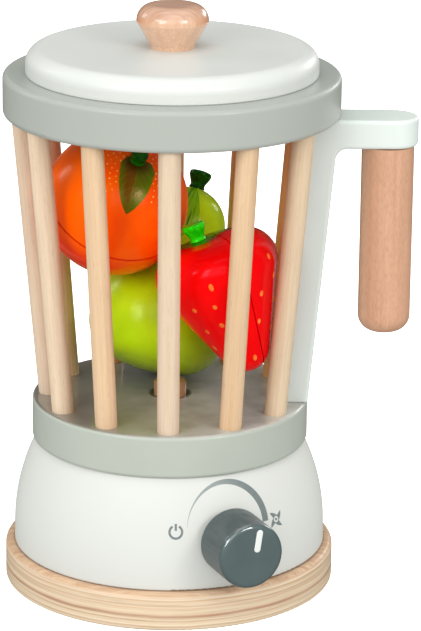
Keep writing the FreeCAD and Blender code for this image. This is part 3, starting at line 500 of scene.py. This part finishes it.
def dowel_wood(name, azimuth, light, dark, seed):
    """Beech dowel whose grain runs along a rod that leans out at an azimuth."""
    paint = Paint(name)
    x, y, z = paint.axes()
    lean = math.tan(math.radians(ROD_LEAN))
    across = x - z * (lean * math.cos(math.radians(azimuth)))
    deep = y - z * (lean * math.sin(math.radians(azimuth)))
    bands, fibres, pores = long_grain(paint, across, deep, z, seed)
    clouds = paint.noise(paint.vector(across * 0.2, deep * 0.2, z * 0.05 + seed), 1.6, 2.0)
    shade = paint.mix((bands * 1.5 - 0.30).clipped(), dark, light)
    shade = paint.mix(fibres.fade(0.35, 0.75) * 0.34, shade, darker(dark, 0.80))
    shade = paint.mix(pores * 0.22, shade, srgb(139, 96, 60))
    shade = paint.brighten(shade, clouds * 0.16 + 0.92)
    normal = paint.bump(fibres * 0.6 - pores * 0.5, 0.06)
    gloss = fibres * 0.14 + 0.40
    return paint.finish(shade, gloss, normal, Coat_Weight=0.15, Coat_Roughness=0.25)


def turned_beech(name, centre, light, dark, seed):
    """Close pinkish beech, turned about an upright axis: fine flecks over straight grain."""
    paint = Paint(name)
    x, y, z = paint.axes(start=(centre[0], centre[1], 0.0))
    bands, fibres, pores = long_grain(paint, x, y, z, seed)
    flecks = paint.noise(paint.vector(x, y, z * 0.30), 0.75, 3.0, 0.65)
    clouds = paint.noise(paint.vector(x * 0.3, y * 0.3, z * 0.12), 3.0, 2.0)
    shade = paint.mix((bands * 1.3 - 0.15).clipped(), dark, light)
    shade = paint.mix(flecks.fade(0.42, 0.66) * 0.30, shade, darker(dark, 0.76))
    shade = paint.mix(pores * 0.30, shade, srgb(131, 85, 57))
    shade = paint.brighten(shade, clouds * 0.14 + 0.93)
    normal = paint.bump(flecks * 0.5 + fibres * 0.4, 0.05)
    gloss = flecks * 0.14 + 0.36
    return paint.finish(shade, gloss, normal, Coat_Weight=0.2, Coat_Roughness=0.20)


def knob_beech():
    """Varnished beech knob: straight grain up its side, dark thirsty end grain with rings on top."""
    paint = Paint("knob_beech")
    x, y, z = paint.axes()
    bands, fibres, pores = long_grain(paint, x, y, z, 23.0)
    stain = paint.noise(paint.vector(x * 0.45, y * 0.45, z * 0.35), 3.4, 3.0)
    rings = paint.noise(paint.vector(x * 0.12, y - 14.0, 0.0), 1.3, 3.0, 0.6)
    end_grain = (z + stain * 3.0).fade(KNOB_TOP - 5.5, KNOB_TOP - 0.8)
    shoulder = (z + stain * 5.0).fade(KNOB_TOP - 8.0, KNOB_TOP - 3.0)
    cheeks = abs(x + stain * 6.0 - 3.0).fade(6.0, 13.5)
    banded = (bands * 1.3 - 0.15).clipped()
    shade = paint.mix(banded, srgb(202, 160, 130), srgb(226, 188, 158))
    shade = paint.mix(fibres.fade(0.38, 0.72) * 0.34, shade, srgb(172, 120, 88))
    shade = paint.mix(shoulder * cheeks * 0.60, shade, srgb(200, 130, 84))
    top = paint.mix(rings.fade(0.30, 0.70), srgb(180, 138, 114), srgb(204, 168, 144))
    shade = paint.mix(end_grain * 0.85, shade, top)
    shade = paint.mix(pores * 0.30, shade, srgb(130, 84, 56))
    normal = paint.bump(fibres * 0.5 + rings * 0.3, 0.04)
    varnish = {"Coat_Weight": 0.6, "Coat_Roughness": 0.15, "Coat_IOR": 1.6}
    return paint.finish(shade, stain * 0.12 + 0.26, normal, **varnish)


def plywood():
    """Varnished birch plywood: plies as bands up the edge, a rotary-cut face above."""
    paint = Paint("plywood")
    x, y, z = paint.axes()
    reach = distance(x, y)
    around = y.over_angle(x) * PLATE_RADIUS
    wander = paint.noise(paint.vector(x * 0.05, y * 0.05, z * 0.12), 1.0, 2.0)
    level = (z + wander * 0.9 - 0.45) / PLATE_THICKNESS
    plies = paint.ramp(level, [(height, srgb(*tint)) for height, tint in PLIES])
    fibres = paint.noise(paint.vector(around * 0.030, reach * 0.5, z * 1.7), 0.75, 4.0, 0.62)
    streaks = paint.noise(paint.vector(around * 0.012, reach * 0.3, z * 1.5), 0.9, 3.0)
    patches = paint.noise(paint.vector(around * 0.05, reach * 0.1, z * 0.25), 1.2, 2.0)
    face_grain = paint.noise(paint.vector(x * 0.06, y, z), 0.8, 4.0, 0.6)
    face_bands = paint.noise(paint.vector(x * 0.02, y * 0.45, 0.0), 1.4, 2.0)
    top = paint.mix(face_bands.fade(0.30, 0.70), srgb(190, 154, 122), srgb(212, 182, 148))
    top = paint.mix(face_grain.fade(0.42, 0.72) * 0.45, top, srgb(159, 111, 79))
    edge = paint.mix(patches.fade(0.25, 0.75) * 0.35, plies, srgb(214, 194, 168))
    edge = paint.brighten(edge, streaks * 0.34 + 0.83)
    edge = paint.mix(fibres.fade(0.48, 0.78) * 0.42, edge, srgb(146, 103, 72))
    shade = paint.mix(z.fade(PLATE_THICKNESS - 1.6, PLATE_THICKNESS - 0.5), edge, top)
    # Painted contact shadow: a reddish-brown line on the plate's top, round the housing's foot.
    contact_shadow = reach.fade(HOUSING_FOOT_RADIUS + 0.9, HOUSING_FOOT_RADIUS + 0.1)
    shade = paint.mix(contact_shadow * 0.40, shade, srgb(111, 57, 31))
    normal = paint.bump(fibres * 0.7 + streaks * 0.5, 0.10)
    gloss = fibres * 0.16 + 0.38
    return paint.finish(shade, gloss, normal, Coat_Weight=0.2, Coat_Roughness=0.25)


# Play fruit


def fruit_surface(paint, fruit):
    """Along the fruit's own axes: height, angle about its stem and distance from its axis."""
    x, y, z = paint.axes(fruit_axes(fruit), fruit["centre"])
    return z, y.over_angle(x), distance(x, y)


def gloss_finish(paint, shade, shine, dullness=0.15, pebbled=1.2, level=0.42):
    """Thick brushed gloss paint: slow waves and a pebbled skin that breaks highlights up."""
    waves = paint.noise(paint.place, 7.0)
    pebbles = paint.noise(paint.place, 0.95, 2.0, 0.6)
    gloss = waves * 0.08 + pebbles * 0.06 + dullness
    normal = paint.bump(waves * 0.8 + pebbles * pebbled, 0.10, 0.7)
    coat = {"Coat_Weight": 0.05, "Coat_Roughness": 0.10}
    shines = {"Specular_IOR_Level": level, "Specular_Tint": shine}
    return paint.finish(shade, gloss, normal, **shines, **coat)


def leaf_shape(paint, side, down, half, length):
    """Share from 0 to 1 inside a leaf, with its veins: widest near the stem, pointed at its foot.

    At a part t of its length the leaf reaches half * (1 - t^3)^0.9 to each side of its middle.
    """
    part = (down / length).clipped()
    width = ((1 - part * part * part) ** 0.9) * (part.fade(-0.06, 0.16) * 0.28 + 0.72) * half
    ragged = paint.noise(paint.place, 2.4, 2.0) - 0.5
    inside = (width - abs(side) + ragged * 0.6).fade(-0.3, 0.5)
    inside = inside * down.fade(-1.2, -0.2) * (down < length)
    rim = (width - abs(side) + ragged * 1.2).fade(3.6, 0.4)
    veins = abs(side + ragged * 0.3).fade(0.55, 0.10)
    ribs = (down * 1.7 - abs(side) * 1.5).sine().fade(0.70, 0.98)
    return inside, rim, veins.most(ribs * 0.5)


def orange_paint():
    """Orange with a painted leaf that lies from the stem down the front.

    The leaf is drawn on the skin's own map: arc length from the stem, split along and across it.
    """
    paint = Paint("orange_gloss")
    z, around, reach = fruit_surface(paint, ORANGE)
    arc = reach.over_angle(z) * ORANGE_RADIUS
    side = around.cosine() * arc - ORANGE_LEAF_SIDE
    down = around.sine() * arc * -1.0
    leaf, rim, veins = leaf_shape(paint, side, down, ORANGE_LEAF_HALF, ORANGE_LEAF_LENGTH)
    clouds = paint.noise(paint.place, 14.0, 3.0)
    skin = paint.mix(clouds.fade(0.25, 0.75), srgb(255, 76, 0), srgb(255, 96, 0))
    # Painted light: the skin is painted lighter and yellower towards its lit left side.
    skin = paint.mix(side.fade(-8.0, -22.0) * 0.65, skin, srgb(255, 104, 0))
    # Painted shade: the lower part of the orange is painted a deeper red.
    skin = paint.mix(z.fade(ORANGE_CUT + 1.0, -9.0) * 0.80, skin, srgb(248, 26, 0))
    # Painted reflection: a darker red streak below the leaf stands for a rod reflected in the gloss.
    rod_reflection_streak = abs(side + ORANGE_LEAF_SIDE).fade(7.0, 1.0) * down.fade(20.0, 28.0)
    skin = paint.mix(rod_reflection_streak * 0.40, skin, srgb(232, 44, 0))
    patches = paint.noise(paint.place, 3.6, 3.0)
    brown = (side * -0.16 + patches * 0.9 + 0.05).fade(0.25, 0.85)
    olive = paint.mix(brown, srgb(68, 98, 10), srgb(98, 66, 10))
    olive = paint.mix(rim * 0.75, olive, srgb(58, 118, 8))
    hairs = paint.noise(paint.vector(around * 16.0, arc * 0.05, 0.0), 1.0, 3.0, 0.6)
    olive = paint.mix(hairs.fade(0.45, 0.75) * 0.40, olive, srgb(30, 58, 2))
    olive = paint.mix(veins * 0.12, olive, srgb(140, 160, 52))
    foot = down.fade(17.0, 24.0)
    olive = paint.mix(foot * 0.6, olive, srgb(66, 62, 4))
    olive = paint.mix(arc.fade(8.5, 3.5) * 0.85, olive, srgb(10, 34, 2))
    shade = paint.mix(leaf * 0.96, skin, olive)
    # Painted shade along the seam: the cut faces and the skin close to the cut are painted a darker
    # red.
    seam_shade = abs(z - ORANGE_CUT).fade(0.9, 0.3)
    shade = paint.mix(seam_shade * 0.8, shade, srgb(225, 36, 0))
    return gloss_finish(paint, shade, srgb(255, 190, 130))


def pear_paint():
    """Yellow-green, with a painted leaf of dark brush strokes down from the stem."""
    paint = Paint("pear_gloss")
    z, around, reach = fruit_surface(paint, PEAR)
    clouds = paint.noise(paint.place, 16.0, 3.0)
    arc = reach.over_angle(z - PEAR_LOBE_HEIGHT) * PEAR_LOBE_RADIUS
    turned = around - math.radians(PEAR_LEAF_AZIMUTH)
    side = turned.sine() * arc
    down = turned.cosine() * arc
    ragged = paint.noise(paint.place, 2.4, 2.0) - 0.5
    tail = (PEAR_LEAF_LENGTH - down) * 1.2
    width = (down * 0.12 + down * down * 0.0128).least(tail) + ragged * 0.7
    leaf = (width - abs(side)).fade(-0.3, 0.4)
    strokes = paint.noise(paint.vector(turned * 14.0, down * 0.05, 0.0), 0.9, 3.0)
    skin = paint.mix(clouds.fade(0.25, 0.75), srgb(172, 210, 4), srgb(194, 230, 18))
    green = paint.mix(strokes.fade(0.50, 0.64), srgb(122, 194, 12), srgb(30, 100, 6))
    shade = paint.mix(leaf * 0.92, skin, green)
    shade = paint.mix(arc.fade(6.0, 4.4) * 0.75, shade, srgb(84, 110, 8))
    # Painted shade: the pear's lower part, and its right flank where the strawberry shades it, are
    # painted a darker olive.
    foot = paint.along((0.0, 0.0, 1.0), PEAR["centre"]).fade(-12.0, -26.0)
    flank = paint.along((1.0, 0.0, 0.0), PEAR["centre"]).fade(4.0, 20.0)
    painted_shade = foot.most(flank * (1 - leaf) * z.fade(20.0, 10.0))
    shade = paint.mix(painted_shade * 0.55, shade, srgb(110, 112, 0))
    return gloss_finish(paint, shade, srgb(240, 255, 170), 0.15, 1.3)


def berry_paint():
    """Red with a painted green collar round the stem and leaves that run out from it."""
    paint = Paint("berry_gloss")
    x, y, z = paint.axes(fruit_axes(BERRY), BERRY["centre"])
    from_stem = x + BERRY_STEM_SHIFT
    spread = distance(from_stem, y)
    bearing = y.over_angle(from_stem)
    ragged = paint.noise(paint.place, 1.8, 3.0)
    reach_out = ragged * 1.4 + BERRY_COLLAR
    for middle, length, narrowness in BERRY_LEAVES:
        leaf = (bearing - math.radians(middle)).cosine().most(0.0) ** narrowness
        reach_out = reach_out + leaf * length
    on_top = z > -2.0
    over = (reach_out - spread).fade(-0.15, 0.25) * on_top
    clouds = paint.noise(paint.place, 15.0, 3.0)
    skin = paint.mix(clouds.fade(0.25, 0.75), srgb(246, 2, 3), srgb(255, 8, 6))
    green = paint.mix(ragged.fade(0.35, 0.7), srgb(12, 70, 2), srgb(40, 130, 8))
    shadow = (reach_out - spread + 3.2).fade(-1.4, 2.8) * on_top
    # Painted shade: the strawberry's right side is painted a deeper red.
    painted_shade = paint.along((1.0, 0.0, 0.0), BERRY["centre"]).fade(11.0, 22.0)
    skin = paint.mix(painted_shade * 0.7, skin, srgb(208, 0, 6))
    skin = paint.mix(shadow * 0.5, skin, srgb(110, 0, 0))
    shade = paint.mix(over * 0.97, skin, green)
    return gloss_finish(paint, shade, srgb(255, 150, 180), 0.11, 0.10, 0.22)


def stem_paint(name, dark, light, shine):
    """Gloss paint on a small turned piece, brushed on in two close tints."""
    paint = Paint(name)
    clouds = paint.noise(paint.place, 2.6, 3.0)
    fibres = paint.noise(paint.place, 0.7, 3.0)
    shade = paint.mix(clouds.fade(0.35, 0.65), dark, light)
    normal = paint.bump(clouds * 0.7 + fibres * 0.5, 0.14, 0.6)
    shines = {"Specular_IOR_Level": 0.5, "Specular_Tint": shine}
    coat = {"Coat_Weight": 0.08, "Coat_Roughness": 0.08}
    return paint.finish(shade, clouds * 0.12 + 0.16, normal, **shines, **coat)


def slate_gloss():
    """Dark slate lacquer: smooth on the dial's face, thin over the wood's grain on its side, where
    the colour is also painted darker as painted shade.
    """
    paint = Paint("dial_slate")
    azimuth = math.radians(DIAL_AZIMUTH)
    out = paint.along((math.cos(azimuth), math.sin(azimuth), 0.0))
    right = paint.along((-math.sin(azimuth), math.cos(azimuth), 0.0))
    up = paint.along((0.0, 0.0, 1.0))
    grain = paint.noise(paint.vector(right, up, out * 0.10), 0.9, 3.0, 0.6)
    clouds = paint.noise(paint.place, 8.0, 3.0)
    peel = paint.noise(paint.place, 0.8, 2.0)
    # Painted shade: the dial's side is painted darker than its face.
    side = out.fade(DIAL_FRONT - 1.0, DIAL_FRONT - 2.6)
    face = paint.mix(clouds, srgb(75, 90, 90), srgb(86, 101, 101))
    wall = paint.mix(grain.fade(0.25, 0.75), srgb(54, 68, 70), srgb(64, 79, 80))
    shade = paint.mix(side, face, wall)
    normal = paint.bump(clouds * 0.5 + peel * 0.3 + grain * side * 0.3, 0.08)
    lacquer = {"Coat_Weight": 0.90 - side * 0.70, "Coat_Roughness": 0.05, "Coat_IOR": 2.0}
    return paint.finish(shade, clouds * 0.10 + 0.38, normal, **lacquer)


def zinc_steel():
    """Zinc-plated steel with fine turning lines and a faint yellow passivation."""
    paint = Paint("zinc_steel")
    clouds = paint.noise(paint.place, 2.0, 3.0)
    lines = paint.noise(paint.place, 0.25, 2.0)
    shade = paint.mix(clouds, srgb(163, 163, 155), srgb(189, 185, 172))
    normal = paint.bump(lines, 0.02)
    return paint.finish(shade, clouds * 0.16 + 0.26, normal, Metallic=1.0)


def moulded_nylon():
    """Natural nylon, milky, with a fine moulded texture."""
    paint = Paint("moulded_nylon")
    clouds = paint.noise(paint.place, 3.0, 3.0)
    peel = paint.noise(paint.place, 0.4, 2.0)
    shade = paint.mix(clouds, srgb(192, 191, 181), srgb(209, 207, 198))
    return paint.finish(shade, peel * 0.15 + 0.42, paint.bump(peel, 0.05))


def hook_and_loop():
    """Woven hook-and-loop disc: rows of tiny loops on a pale ground."""
    paint = Paint("hook_and_loop")
    loops = paint.cells(paint.place, 0.55)
    rows = paint.noise(paint.place, 1.4, 3.0)
    shade = paint.mix(loops.fade(0.1, 0.6), srgb(215, 215, 209), srgb(181, 181, 174))
    normal = paint.bump(1 - loops + rows * 0.5, 0.30, 0.9)
    return paint.finish(shade, rows * 0.1 + 0.82, normal)


# New pieces


def make_piece(name, points, faces, body, material):
    """A mesh from an array of points in millimetres and an array of quads or a list of faces."""
    mesh = bpy.data.meshes.new(name)
    mesh.from_pydata((np.asarray(points) * MM).tolist(), [], [list(face) for face in faces])
    mesh.polygons.foreach_set("use_smooth", [True] * len(mesh.polygons))
    mesh.materials.append(material)
    mesh.update()
    piece = bpy.data.objects.new(name, mesh)
    bpy.context.scene.collection.objects.link(piece)
    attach(piece, body)
    return piece


def domes(centres, along, across, outward, lengths, widths, proud, sunk, rings, sides):
    """Many low oval domes of paint at once, as one set of points and faces.

    Point (k, a) of a dome is its centre + along * length * q cos a + across * width * q sin a
    + outward * (proud * (1 - q^2) - sunk), with q = k / rings.
    """
    share = np.arange(1, rings + 1) / rings
    angle = np.arange(sides) * 2 * np.pi / sides
    q = np.concatenate([[0.0], np.repeat(share, sides)])
    a = np.concatenate([[0.0], np.tile(angle, rings)])
    u = (q * np.cos(a))[None, :, None] * along[:, None, :] * lengths[:, None, None]
    v = (q * np.sin(a))[None, :, None] * across[:, None, :] * widths[:, None, None]
    lift = (proud * (1 - q**2) - sunk)[None, :, None] * outward[:, None, :]
    points = centres[:, None, :] + u + v + lift
    step = 1 + rings * sides
    ring = 1 + np.arange(sides)
    after = 1 + (np.arange(sides) + 1) % sides
    fan = [[0, ring[i], after[i]] for i in range(sides)]
    bands = [
        [ring[i] + inner, ring[i] + inner + sides, after[i] + inner + sides, after[i] + inner]
        for inner in range(0, (rings - 1) * sides, sides)
        for i in range(sides)
    ]
    back = [(1 + (rings - 1) * sides + np.arange(sides))[::-1].tolist()]
    faces = [
        [int(index) + number * step for index in face]
        for number in range(len(centres))
        for face in fan + bands + back
    ]
    return points.reshape(-1, 3), faces


def golden_spread(count, first, last, radius, phase):
    """Angles from the pole and round it of points spread evenly between two arc lengths."""
    share = (np.arange(count) + 0.5) / count
    low, high = math.cos(first / radius), math.cos(last / radius)
    slope = np.arccos(low + (high - low) * share)
    around = np.arange(count) * GOLDEN_ANGLE + phase
    return slope, around


def orange_specks(material):
    """Pale paint dots on the orange's skin round its stem, left out under the leaf.

    A dot sits at centre + (R sin s cos a, R sin s sin a, H cos s) on the orange's own axes.
    """
    axes = fruit_axes(ORANGE)
    slope, around = golden_spread(SPECK_COUNT, *SPECK_ARCS, ORANGE_RADIUS, 0.7)
    right, back = np.sin(slope) * np.cos(around), np.sin(slope) * np.sin(around)
    local = np.stack([right, back, np.cos(slope)], 1)
    side = slope * ORANGE_RADIUS * np.cos(around) - ORANGE_LEAF_SIDE
    down = -slope * ORANGE_RADIUS * np.sin(around)
    clear = (abs(side) > ORANGE_LEAF_HALF) | (down < 0.0)
    semi = np.array([ORANGE_RADIUS, ORANGE_RADIUS, ORANGE_HALF_HEIGHT])
    skin = (local[clear] * semi) @ axes.T
    outward = (local[clear] / semi) @ axes.T
    outward /= np.linalg.norm(outward, axis=1)[:, None]
    along = np.cross(outward, axes[:, 2])
    along /= np.linalg.norm(along, axis=1)[:, None]
    across = np.cross(outward, along)
    centres = np.array(ORANGE["centre"]) + skin
    sizes = 0.48 + 0.10 * np.sin(np.arange(len(skin)) * 2.4)
    shape = {"proud": 0.10, "sunk": 0.04, "rings": 2, "sides": 8}
    points, faces = domes(centres, along, across, outward, sizes, sizes * 0.9, **shape)
    return make_piece("orange_specks", points, faces, "orange_upper", material)


def berry_skin(arc):
    """Distance from the axis, height and outward slope at an arc length from the strawberry's tip.

    The profile is a circle of the tip radius, a straight flank along which the slope stays the
    same, and a circle of the shoulder radius; each stretch starts where the last one ends.
    """
    inset = BERRY_RADIUS - BERRY_SHOULDER
    span = math.hypot(inset, BERRY_DROP)
    lean = math.acos((BERRY_TIP - BERRY_SHOULDER) / span)
    flat = math.atan2(BERRY_DROP, inset) - lean
    flank_start = BERRY_TIP * (flat + math.pi / 2)
    flank = math.sqrt(span**2 - (BERRY_SHOULDER - BERRY_TIP) ** 2)
    slope = -math.pi / 2 + np.minimum(arc, flank_start) / BERRY_TIP
    slope = slope + np.maximum(arc - flank_start - flank, 0) / BERRY_SHOULDER
    share = np.clip((arc - flank_start) / flank, 0, 1)
    radius = BERRY_TIP + (BERRY_SHOULDER - BERRY_TIP) * share
    reach = inset * share + radius * np.cos(slope)
    height = BERRY_DROP * (share - 1) + radius * np.sin(slope)
    return reach, height, slope


def berry_seeds(material):
    """Painted seeds: long drops on the strawberry's skin.

    A seed sits at reach and height for its arc length, turned about the axis by its angle, with
    its long side up the profile.
    """
    axes = fruit_axes(BERRY)
    arc, around = np.array(BERRY_SEEDS, float).T
    around = np.radians(around)
    reach, height, slope = berry_skin(arc)
    cos, sin = np.cos(around), np.sin(around)
    outward = np.stack([np.cos(slope) * cos, np.cos(slope) * sin, np.sin(slope)], 1) @ axes.T
    along = np.stack([-np.sin(slope) * cos, -np.sin(slope) * sin, np.cos(slope)], 1) @ axes.T
    across = np.cross(outward, along)
    centres = np.array(BERRY["centre"]) + np.stack([reach * cos, reach * sin, height], 1) @ axes.T
    lengths = 1.55 + 0.2 * np.sin(arc * 1.7)
    widths = 1.05 + 0.12 * np.cos(arc * 2.3)
    shape = {"proud": 0.22, "sunk": 0.07, "rings": 4, "sides": 20}
    points, faces = domes(centres, along, across, outward, lengths, widths, **shape)
    return make_piece("berry_seeds", points, faces, "strawberry", material)


def dial_pointer(material):
    """A raised bar of white paint with round ends on the dial's face.

    Ring k of its outline is middle + t * along + w * (cos a across + sin a along), where t jumps
    from one end of the bar to the other with the sign of sin a, and w shrinks as the ring rises.
    """
    azimuth = math.radians(DIAL_AZIMUTH)
    outward = np.array([math.cos(azimuth), math.sin(azimuth), 0.0])
    right = np.array([-math.sin(azimuth), math.cos(azimuth), 0.0])
    lean = math.radians(POINTER_LEAN)
    along = right * math.sin(lean) + np.array([0.0, 0.0, math.cos(lean)])
    across = np.cross(along, outward)
    start = outward * DIAL_FRONT + right * POINTER_MIDDLE[0]
    start = start + np.array([0.0, 0.0, DIAL_LEVEL + POINTER_MIDDLE[1]])
    angle = (np.arange(POINTER_SIDES) + 0.5) * 2 * np.pi / POINTER_SIDES
    widths, lifts = np.array(POINTER_RINGS).T[:, :, None, None]
    half = POINTER_LENGTH / 2 - widths.max()
    ends = (np.sign(np.sin(angle)) * half)[None, :, None] * along
    rim = np.cos(angle)[None, :, None] * across + np.sin(angle)[None, :, None] * along
    points = (start + ends + widths * rim + lifts * outward).reshape(-1, 3)
    around = np.arange(POINTER_SIDES)
    after = (around + 1) % POINTER_SIDES
    last = (len(POINTER_RINGS) - 1) * POINTER_SIDES
    faces = []
    for ring in range(0, last, POINTER_SIDES):
        above = ring + POINTER_SIDES
        corners = [ring + around, ring + after, above + after, above + around]
        faces.extend(np.stack(corners, 1).tolist())
    faces.append((last + around).tolist())
    faces.append(around[::-1].tolist())
    return make_piece("dial_pointer", points, faces, "dial", material)


# The frame's own nodes


def dress(names, material):
    """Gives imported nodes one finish."""
    for name in names:
        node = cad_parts[name]
        node.data.materials.clear()
        node.data.materials.append(material)


def dress_wood():
    """Finishes of the nodes that show bare or varnished wood."""
    middle = (0.0, 0.0)
    peg = turned_beech("peg_beech", middle, srgb(191, 148, 101), srgb(163, 116, 73), 3.0)
    pins = turned_beech("pin_beech", middle, srgb(215, 191, 159), srgb(191, 157, 120), 5.0)
    grip = turned_beech("grip_beech", GRIP_CENTRE, srgb(211, 166, 135), srgb(191, 142, 111), 11.0)
    dress(["base_plate"], plywood())
    dress(["locating_peg"], peg)
    dress(["handle_grip"], grip)
    dress(["grip_dowel", "ring_dowels", "dial_axle"], pins)
    dress(["lid_knob"], knob_beech())
    for number, (light, dark) in enumerate(ROD_TINTS_AND_SHADE):
        name = f"{number + 1:02d}"
        azimuth = ROD_STEP * (number + 1)
        wood = dowel_wood(f"rod_beech_{name}", azimuth, srgb(*light), srgb(*dark), 7.0 * number)
        dress([f"rod_{name}"], wood)


def dress_paint():
    """Finishes of the painted nodes."""
    shine = srgb(150, 255, 130)
    dark_stem = stem_paint("dark_stem_green", srgb(4, 66, 2), srgb(14, 100, 3), shine)
    bright_stem = stem_paint("bright_stem_green", srgb(26, 200, 2), srgb(44, 234, 4), shine)
    dress(["housing"], housing_paint())
    dress(["lid_disc", "lid_plug"], satin_paint("lid_white", srgb(206, 209, 204)))
    dress(["top_ring"], satin_paint("sage_ring", srgb(164, 169, 161), 0.40))
    dress(["jug_floor"], jug_floor_paint())
    dress(["handle_frame"], satin_paint("frame_white", srgb(212, 220, 214)))
    dress(["dial_knob"], slate_gloss())
    dress(["orange_top", "orange_bottom"], orange_paint())
    dress(["pear_top", "pear_bottom"], pear_paint())
    dress(["berry_back", "berry_front"], berry_paint())
    dress(["orange_stem", "pear_stem"], dark_stem)
    dress(["berry_stem"], bright_stem)


def dress_hardware():
    """Finishes of screws, washers and patches."""
    halves = ["orange_top", "orange_bottom", "pear_top", "pear_bottom", "berry_back", "berry_front"]
    steel = ["plate_screws", "dial_washer", "dial_screw", "foot_screws", "lid_screw"]
    dress(steel, zinc_steel())
    dress(["dial_spacer"], moulded_nylon())
    dress([f"{name}_patch" for name in halves], hook_and_loop())


# Studio


def studio_floor():
    """A wide white sheet that glows a little, as a lit table does."""
    paint = Paint("studio_white")
    cloth = paint.noise(paint.place, 60.0)
    shade = paint.mix(cloth, srgb(248, 248, 248), srgb(252, 252, 252))
    material = paint.finish(shade, 0.9, Emission_Color=WHITE, Emission_Strength=FLOOR_GLOW)
    corners = [(-1, -1), (1, -1), (1, 1), (-1, 1)]
    points = [(x * FLOOR_REACH, y * FLOOR_REACH, 0.0) for x, y in corners]
    mesh = bpy.data.meshes.new("studio_floor")
    mesh.from_pydata(points, [], [[0, 1, 2, 3]])
    mesh.materials.append(material)
    floor = bpy.data.objects.new("studio_floor", mesh)
    bpy.context.scene.collection.objects.link(floor)
    floor.visible_diffuse = False
    floor.visible_glossy = False


def aim(thing, place, target, roll=0.0):
    """Puts an object at a place with its -Z axis towards a target and rolls it about that axis."""
    way = Vector(target) - Vector(place)
    rolled = Matrix.Rotation(math.radians(roll), 3, "Z")
    turned = way.to_track_quat("-Z", "Y").to_matrix() @ rolled
    thing.matrix_world = Matrix.Translation(Vector(place)) @ turned.to_4x4()


def soft_box(name, azimuth, elevation, size, power):
    """An area light on a sphere round the part, azimuth from straight ahead, + to the right."""
    light = bpy.data.lights.new(name, "AREA")
    light.shape = "RECTANGLE"
    light.size, light.size_y = size
    light.energy = power
    lamp = bpy.data.objects.new(name, light)
    bpy.context.scene.collection.objects.link(lamp)
    a, e = math.radians(azimuth), math.radians(elevation)
    ahead = (math.sin(a) * math.cos(e), -math.cos(a) * math.cos(e), math.sin(e))
    place = Vector(ahead) * LIGHT_DISTANCE + Vector(LIGHT_TARGET)
    aim(lamp, place, LIGHT_TARGET)


def studio_room():
    """Even white light from all round, dimmed in reflections, so that the lamps make the gloss."""
    world = bpy.data.worlds.new("studio")
    world.use_nodes = True
    tree = world.node_tree
    room = tree.nodes["Background"]
    dim = tree.nodes.new("ShaderNodeBackground")
    for node, strength in ((room, ROOM_LIGHT), (dim, ROOM_REFLECTION)):
        node.inputs["Color"].default_value = WHITE
        node.inputs["Strength"].default_value = strength
    path = tree.nodes.new("ShaderNodeLightPath")
    either = tree.nodes.new("ShaderNodeMixShader")
    tree.links.new(path.outputs["Is Glossy Ray"], either.inputs[0])
    tree.links.new(room.outputs[0], either.inputs[1])
    tree.links.new(dim.outputs[0], either.inputs[2])
    tree.links.new(either.outputs[0], tree.nodes["World Output"].inputs[0])
    bpy.context.scene.world = world
    bpy.context.scene.view_settings.view_transform = "Standard"


def studio_camera():
    """Long lens from above the lid, with a small roll."""
    lens = bpy.data.cameras.new("camera")
    lens.sensor_width = SENSOR_WIDTH
    lens.lens = LENS_LENGTH
    camera = bpy.data.objects.new("camera", lens)
    bpy.context.scene.collection.objects.link(camera)
    aim(camera, CAMERA_PLACE, CAMERA_TARGET, CAMERA_ROLL)
    bpy.context.scene.camera = camera


dress_wood()
dress_paint()
dress_hardware()
SPECK_SHINE = srgb(255, 190, 130)
orange_specks(stem_paint("speck_paint", srgb(255, 158, 60), srgb(255, 190, 104), SPECK_SHINE))
berry_seeds(stem_paint("seed_paint", srgb(250, 104, 34), srgb(255, 132, 56), SPECK_SHINE))
dial_pointer(satin_paint("pointer_white", srgb(218, 222, 218)))
studio_floor()
for light_settings in LIGHTS:
    soft_box(*light_settings)
studio_room()
studio_camera()
